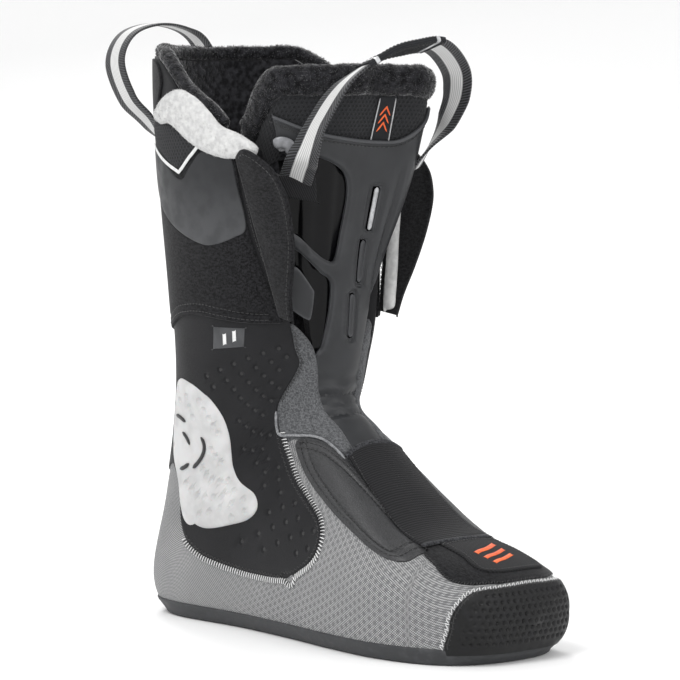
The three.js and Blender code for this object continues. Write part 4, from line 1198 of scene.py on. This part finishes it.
# ------------------------------------------------------------------ wings
def wing_place(side):
    """A flat frame for a wing: mm ahead of its seam, mm up the seam, height outward."""
    outer_side = np.array([1, -side, 1])
    top, foot = (boot(u, side * t, 1.3)[0] * outer_side for u, t in ((14.45, 0.63), (12.15, 0.76)))
    length = np.linalg.norm(top - foot)
    across = np.array([1, 0.06, 0]) / np.hypot(1, 0.06)
    outward = unit(np.cross(top - foot, across))

    def place(a, b, h=0.0):
        a, b, h = np.broadcast_arrays(np.atleast_1d(a).astype(float), np.atleast_1d(b), np.atleast_1d(h))
        p = foot + (b / length)[:, None] * (top - foot) + a[:, None] * across
        p = p + (h + 1.5 * np.sin(np.pi * np.clip(a / 30, 0, 1)))[:, None] * outward
        return p * outer_side
    return place, length


def wing(side, name):
    place, length = wing_place(side)
    body = f"{name}_wing"
    outline, inner = ([(a, b * length) for a, b in edge] for edge in (WING, WING_PILE))
    flat = rounded(2.3, 0.7, 1.1)

    def top(a, b, d):
        return flat(a, b, d) + 0.25 * np.sin(b * 0.13 + a * 0.08) * ease(d / 5)

    def pile(a, b, d):
        return -1.9 * bulge(d / 3) - 0.2 + 0.25 * np.sin(a * 1.3) * np.sin(b * 1.1)
    piece = panel(f"{name}_wing_felt", body, "black_felt", [outline], WING_K, top, level(0.2), place,
                  stands_for=[body])
    piece = panel(f"{name}_wing_pile", body, "white_fleece", [inner], WING_K, level(-0.05), pile, place,
                  cell=2.2, stands_for=[f"{body}_fleece"])
    path = offset(outline[4:], WING_K, -2.6, closed=False)
    line = seam_path(path[path[:, 0] > 3.0], place, 2.25)
    stitches(f"{name}_wing_stitching", body, "black_thread", line, *TOPSTITCH)
    line = seam_path([(2.9, 4), (2.9, length * 0.5), (2.9, length * 0.95)], place, 2.35)
    stitches(f"{name}_wing_seam", body, "black_thread", line, *TOPSTITCH)


# ------------------------------------------------------------------ tongue
def tongue_band(name, look, node, low, high, inner, outer, trim, soft, nb, flute=0.0):
    """A crowned band of the tongue between two heights along the boot, fluted if asked."""
    def place(a, b):
        u = low + a * (high - low)
        edge = follow(TONGUE_EDGE, u) + trim
        t = edge + b * (2 - 2 * edge)
        reach = np.minimum(np.minimum(b, 1 - b) * 70, np.minimum(a, 1 - a) * (high - low) * 30)
        turn = soft * (1 - bulge(reach / (soft * 1.6)))
        extra = flute * np.cos((t - 1) * 85) * ease((u - 8.9) * 2) * ease((14.5 - u) * 2)
        return lean(u, t, outer - turn + extra), lean(u, t, inner + turn)
    return sheet_grid(name, "tongue", look, place, 90, nb, [node])


SLOT_U_MM = 38      # mm per unit of u at the slots


def slot_outline(u, t, half, wide):
    """A slot with round ends, in front coordinates."""
    s, end = front_s(u), wide * FRONT_K[1]
    reach = half * SLOT_U_MM - end
    return [(s + math.copysign(reach, math.cos(a)) + math.cos(a) * end, t + math.sin(a) * wide)
            for a in np.linspace(0, math.tau, 20, endpoint=False)]


# Creases at the ankle: u, depth and width
CREASES = ((8.75, 1.5, 1.6), (8.15, 0.8, 1.2), (7.5, 1.3, 1.5), (9.7, 0.8, 2.0))


def tongue_plate():
    low, k = 5.72, np.array(FRONT_K)
    side = [(u, t + 0.004) for u, t in TONGUE_EDGE if low < u < 14.5]
    lateral = ([(low, 0.925)] * 2 + [p for p in side if p[0] < 11.2] + LATTICE
               + [(14.5, 0.75), (14.7, 0.742)] + [(14.95, 0.728)] * 2)
    top = [(u, t) for t, u in PLATE_TOP[1:-1]]
    medial = [(u, 2 - t) for u, t in [(14.7, 0.742)] + side[::-1]]
    outline = to_front(lateral + top + [(15.1, 1.272)] * 2 + medial + [(low, 1.075)] * 2)
    slots = [slot_outline(*slot) for slot in SLOTS]
    lattice = [resample(smooth(to_front(LATTICE), closed=False) * k, 1.2, closed=False)]
    channels = [resample(smooth(slot_outline(u, t, half + 0.045, wide + 0.013)) * k, 1.2)
                for u, t, half, wide in SLOTS]

    def height(a, b, d):
        p = np.stack([a, b], 1) * k
        u = np.interp(a, FRONT_S, FRONT_U)
        h = -0.9 - 0.8 * (1 - ease(d / 1.1)) + 0.55 * ridge(distance(p, lattice) - 2.6, 1.5)
        within_slots = np.any([inside(p, channel) for channel in channels], axis=0)
        h = h - 0.55 * within_slots - 0.35 * ridge(distance(p, channels), 0.7)
        groove = ridge((b - 1.15) * k[1], 1.3)
        h = h - 1.5 * groove * ease((u - 11.8) / 0.8) * ease((14.35 - u) / 0.3)
        for spot, deep, wide in CREASES:
            h = h - deep * ridge(a - (front_s(spot) + 32 * np.abs(b - 1)), wide)
        return h - 0.35 * ease((9.2 - u) / 2)
    return panel("tongue_lattice", None, "moulded", [outline] + slots, k, height,
                 lambda a, b, d: -3.5 + 0.3 * (1 - ease(d)), front, cell=1.9, rings=(0.35, 0.9, 1.7, 2.6),
                 stands_for=["tongue_plate", "tongue_lower"], sharp=30)


def tongue():
    pad = tongue_band("tongue_padding", "black_felt", "tongue_pad", 8.72, 15.2, -11, -4.6, -0.008, 2.6, 60)
    tongue_band("tongue_gloss", "gloss_film", "tongue_film", 8.75, 14.55, -4.5, -3.75, 0.004, 0.2, 140, 0.5)
    plate = tongue_plate()
    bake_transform(plate)
    for name, look, outline, height, under in (("upper", "moulded", LATTICE_TAB, 0.3, -1.6),
                                               ("top", "ribbon", LOOP_TAB, 4.0, -1.2)):
        panel(f"tongue_{name}_tab", "tongue", look, [outline], TAB_K, rounded(height, 0.5, 0.8),
              level(under), lean, cell=1.4)
    knit_piece, collar = tongue_knit(), tongue_roll()
    fuzz("tongue_roll_pile", "tongue", "black_fleece", collar, 12000, 1.1, 7)
    edge = to_front([(14.93, 0.73)] + [(u, t) for t, u in PLATE_TOP[1:-1]] + [(15.08, 1.27)])
    roll("tongue_lattice_piping", "tongue", "moulded", edge, -0.6, 2.2, front)
    line = seam_path(offset(edge, FRONT_K, 2.6, closed=False), front, -0.75)
    stitches("tongue_lattice_stitching", "tongue", "black_thread", line, 2.7, 1.9, 0.6)


def inward(t):
    """How far the tongue's outer-side end has turned in behind the cuff, 0 to 1."""
    return 1 - ease((t - 0.62) / 0.14)


def tongue_knit():
    """Padded knit between the lattice and the rolled top."""
    def place(a, b):
        t = 0.63 + b * 0.65
        deep = inward(t)
        u = 14.3 + a * 1.1 - 0.35 * deep
        return lean(u, t, -3.0 + 0.9 * np.sin(math.pi * a) - 11 * deep), lean(u, t, -6.5 - 12 * deep)
    return sheet_grid("tongue_knit", "tongue", "black_knit", place, 40, 120, ["tongue_mesh"])


def tongue_roll():
    """The soft rolled top of the tongue; its outer-side end runs down inside the cuff."""
    n = 130
    t = np.linspace(0.605, 1.275, n)
    deep = inward(t)
    u, h = 15.42 - 0.06 * ease((t - 1.15) / 0.1) - 0.75 * deep ** 1.5, -5.6 - 9.5 * deep
    upward = lean(u + 0.15, t, h) - lean(u - 0.15, t, h)
    size = rounded_ends(n, 8, 0.4) * (1 + 0.03 * np.sin(t * 55) + 0.02 * np.sin(t * 131))
    return sweep("tongue_roll", "tongue", "black_fleece", lean(u, t, h), upward, 17.5 * size, 12 * size,
                 28, 2.15, ["tongue_collar"])


def tongue_label():
    left, right = ((14.5, 1.03), (15.2, 1.033)), ((14.5, 1.085), (15.2, 1.08))
    outline = to_front(cornered([left[0], right[0], right[1], left[1]]))
    panel("woven_label", "tongue", "label_tape", [outline], FRONT_K, rounded(-1.5, 0.3, 0.6), level(-3.4),
          front, cell=1.6, stands_for=["tongue_label"])
    for i, ((_, low), (_, high)) in enumerate((left, right)):
        line = to_front([(14.52, low), (14.85, (low + high) / 2), (15.18, high)])
        roll(f"woven_label_edge_{i + 1}", "tongue", "pale_plastic", line, -1.45, 0.8, front)
    for i, u in enumerate((14.68, 14.8, 14.92)):
        chevron = to_front([(u, 1.042), (u + 0.13, 1.0575), (u + 0.13, 1.0575), (u, 1.073)])
        roll(f"woven_label_mark_{i + 1}", "tongue", "orange_print", chevron, -1.4, 1.1, front, thick=0.5)


def slot_inserts():
    for i, (u, t, half, _) in enumerate(SLOTS):
        s, reach = front_s(u), half * SLOT_U_MM - 1.0
        xyz, along, up = seam_path([(s - reach, t), (s, t), (s + reach, t)], front, -2.1, step=0.8)
        size = rounded_ends(len(xyz), 3, 0.3)
        look = "pale_plastic" if i == 0 else "moulded"
        sweep(f"slot_bar_{i + 1}", "tongue", look, xyz, np.cross(up, along), 3.9 * size, 1.5 * size, 14, 2.4,
              [f"slot_insert_{i + 1}"])


def stud():
    base, tip = (lean(14.5, 0.765, h)[0] for h in (-1.4, 2.2))
    points = [base + (tip - base) * f for f in np.linspace(0, 1, 8)]
    sweep("lace_stud_post", "tongue", "smoke_plastic", points, np.tile([1.0, 0.3, 0.4], (8, 1)), 5.5, 4.0,
          14, 2.2)
    bend = [(14.54, 0.74), (14.57, 0.762), (14.52, 0.784), (14.4, 0.79)]
    xyz, along, up = seam_path(bend, lean, 2.2, step=0.7)
    size = rounded_ends(len(xyz), 4, 0.35)
    sweep("lace_stud_cap", "tongue", "stud_plastic", xyz, np.cross(up, along), 6.5 * size, 2.8 * size,
          16, 2.3, ["lace_stud"])


# ------------------------------------------------------------------ webbing loops
FRONT_LOOP = [(2, -36.5, 252), (8, -39, 259), (15, -41, 267), (24, -39, 285), (36, -31, 305), (44, -12, 319),
              (48, 5, 324), (48, 25, 325), (42, 45, 313), (35, 53, 299), (27, 53, 284), (17, 49, 269),
              (10, 46, 258)]
REAR_LOOP = [(-124, -20, 256), (-126.5, -21, 267), (-135, -28, 283), (-146, -35, 297), (-157, -35, 318),
             (-162, -22, 334), (-162, 0, 340), (-160, 21, 336), (-152, 28, 324), (-142, 27, 304),
             (-134, 25, 284), (-126.5, 21, 267), (-124, 20, 256)]
TAPE_STEP, TAPE_TURN = 1.2, 38      # spacing of a tape's sections, and length over which its ends turn, mm


def tape(name, points, direction, wide, node, ends):
    """A woven tape; its flat side turns to another direction over the last stretch at each end."""
    path = resample(smooth(points, closed=False, per=24), TAPE_STEP, closed=False)
    across = np.tile(np.array(direction, float), (len(path), 1))
    along = np.arange(len(path)) * TAPE_STEP
    for end, run in zip(ends, (along, along[::-1])):
        across += (np.array(end) - np.array(direction)) * (1 - ease(run / TAPE_TURN))[:, None]
    piece = sweep(name, None, "webbing", path, across, wide, 1.6, 28, 7, [node])
    return piece, path, across


def pull_loop_sleeve(path, across):
    """The woven sleeve round the front loop, with four seams and a pale line near each end."""
    def sleeve_part(name, look, part, wide, thick, sides):
        sweep(name, "front_loop", look, path[part], across[part], wide, thick, sides, 6)
    first, last = int(len(path) * 0.36), int(len(path) * 0.58)
    sleeve_part("pull_loop_sleeve", "label_tape", slice(first, last), 19.4, 3.6, 24)
    sleeve, flat = path[first:last], across[first:last]
    along = unit(np.gradient(sleeve, axis=0))
    side = unit(flat - (flat * along).sum(1, keepdims=True) * along)
    up = np.cross(along, side)
    for i, (shift, face) in enumerate(((-8.0, 1), (8.0, 1), (-8.0, -1), (8.0, -1))):
        line = (sleeve + side * shift + up * face * 1.75, along, up * face)
        stitches(f"pull_loop_sleeve_stitching_{i + 1}", "front_loop", "black_thread", line, 2.4, 1.7)
    for i, start in enumerate((first + 3, last - 6)):
        sleeve_part(f"pull_loop_sleeve_line_{i + 1}", "pale_plastic", slice(start, start + 3), 19.7, 3.9, 20)


def loops():
    front_tape, path, across = tape("tongue_pull_loop", FRONT_LOOP, (1, 0, 0.35), 18, "tongue_loop",
                                    ((0.85, 0.4, 0.2), (0.7, -0.7, 0.2)))
    pull_loop_sleeve(path, across)
    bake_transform(front_tape)
    rear_tape, _, _ = tape("heel_pull_loop", REAR_LOOP, (-1, 0, 0), 16, "rear_loop",
                           ((-0.25, 1, 0), (-0.25, -1, 0)))
    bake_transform(rear_tape)


# ------------------------------------------------------------------ studio
AZIMUTH = math.radians(47.78)       # the camera's bearing, which the backdrop shares


def add(name, data):
    thing = bpy.data.objects.new(name, data)
    bpy.context.scene.collection.objects.link(thing)
    return thing


def area_light(name, place, power, size):
    lamp = bpy.data.lights.new(name, "AREA")
    lamp.energy, lamp.size, lamp.shape = power, size, "DISK"
    thing = add(name, lamp)
    thing.location = place
    thing.rotation_euler = (Vector((0, 0, 0.16)) - Vector(place)).to_track_quat("-Z", "Y").to_euler()


def studio():
    """A pale floor that curves up behind the boot, white surroundings and three lamps."""
    mesh = bpy.data.meshes.new("floor")
    profile = [(-3.2, 0), (1.6, 0)] + [(1.6 + 1.2 * math.sin(a), 1.2 * (1 - math.cos(a)))
                                       for a in np.linspace(0.1, math.pi / 2, 14)] + [(2.8, 4)]
    ahead = np.array([-math.sin(AZIMUTH), math.cos(AZIMUTH)])
    aside = np.array([math.cos(AZIMUTH), math.sin(AZIMUTH)])
    points = [tuple(ahead * d + aside * w) + (z,) for d, z in profile for w in (-4.5, 4.5)]
    faces = [(2 * i, 2 * i + 1, 2 * i + 3, 2 * i + 2) for i in range(len(profile) - 1)]
    mesh.from_pydata(points, [], faces)
    mesh.polygons.foreach_set("use_smooth", [True] * len(mesh.polygons))
    floor = add("floor", mesh)
    look = Look("floor_paint", "grey_mesh", 0.9)
    look.colour(look.mix(look.noise(800, 1), "f4f4f4", "fafafa"))
    mesh.materials.append(look.material)
    world = bpy.data.worlds.new("studio")
    world.use_nodes = True
    background = world.node_tree.nodes["Background"]
    background.inputs[0].default_value, background.inputs[1].default_value = (1, 1, 1, 1), 0.8
    bpy.context.scene.world = world
    bpy.context.scene.view_settings.view_transform = "Standard"
    area_light("key", (0.3, -1.3, 1.9), 24, 1.0)
    area_light("fill", (1.9, 0.1, 1.0), 10, 1.2)
    area_light("rim", (-1.5, 0.9, 1.4), 16, 0.8)


def camera():
    elevation, away = math.radians(4.5), 1.8
    level_part = math.cos(elevation)
    back = Vector((math.sin(AZIMUTH) * level_part, -math.cos(AZIMUTH) * level_part, math.sin(elevation)))
    data = bpy.data.cameras.new("camera")
    data.lens, data.sensor_width = 172.2, 36
    data.shift_x, data.shift_y = -0.004, 0.0225
    thing = add("camera", data)
    thing.location = Vector((0, 0, 0.155)) + back * away
    thing.rotation_euler = back.to_track_quat("Z", "Y").to_euler()
    bpy.context.scene.camera = thing


for build in (camera, studio, sole, insole, foot_skin, toe_cap, toe_top, elastic, cuff, cover, lining,
              rim_roll, size_tag):
    build()
for side, name in SIDES:
    for build in (side_overlay, ankle_pad, gusset, cuff_details, wing):
        build(side, name)
for build in (tongue, tongue_label, slot_inserts, stud, loops):
    build()
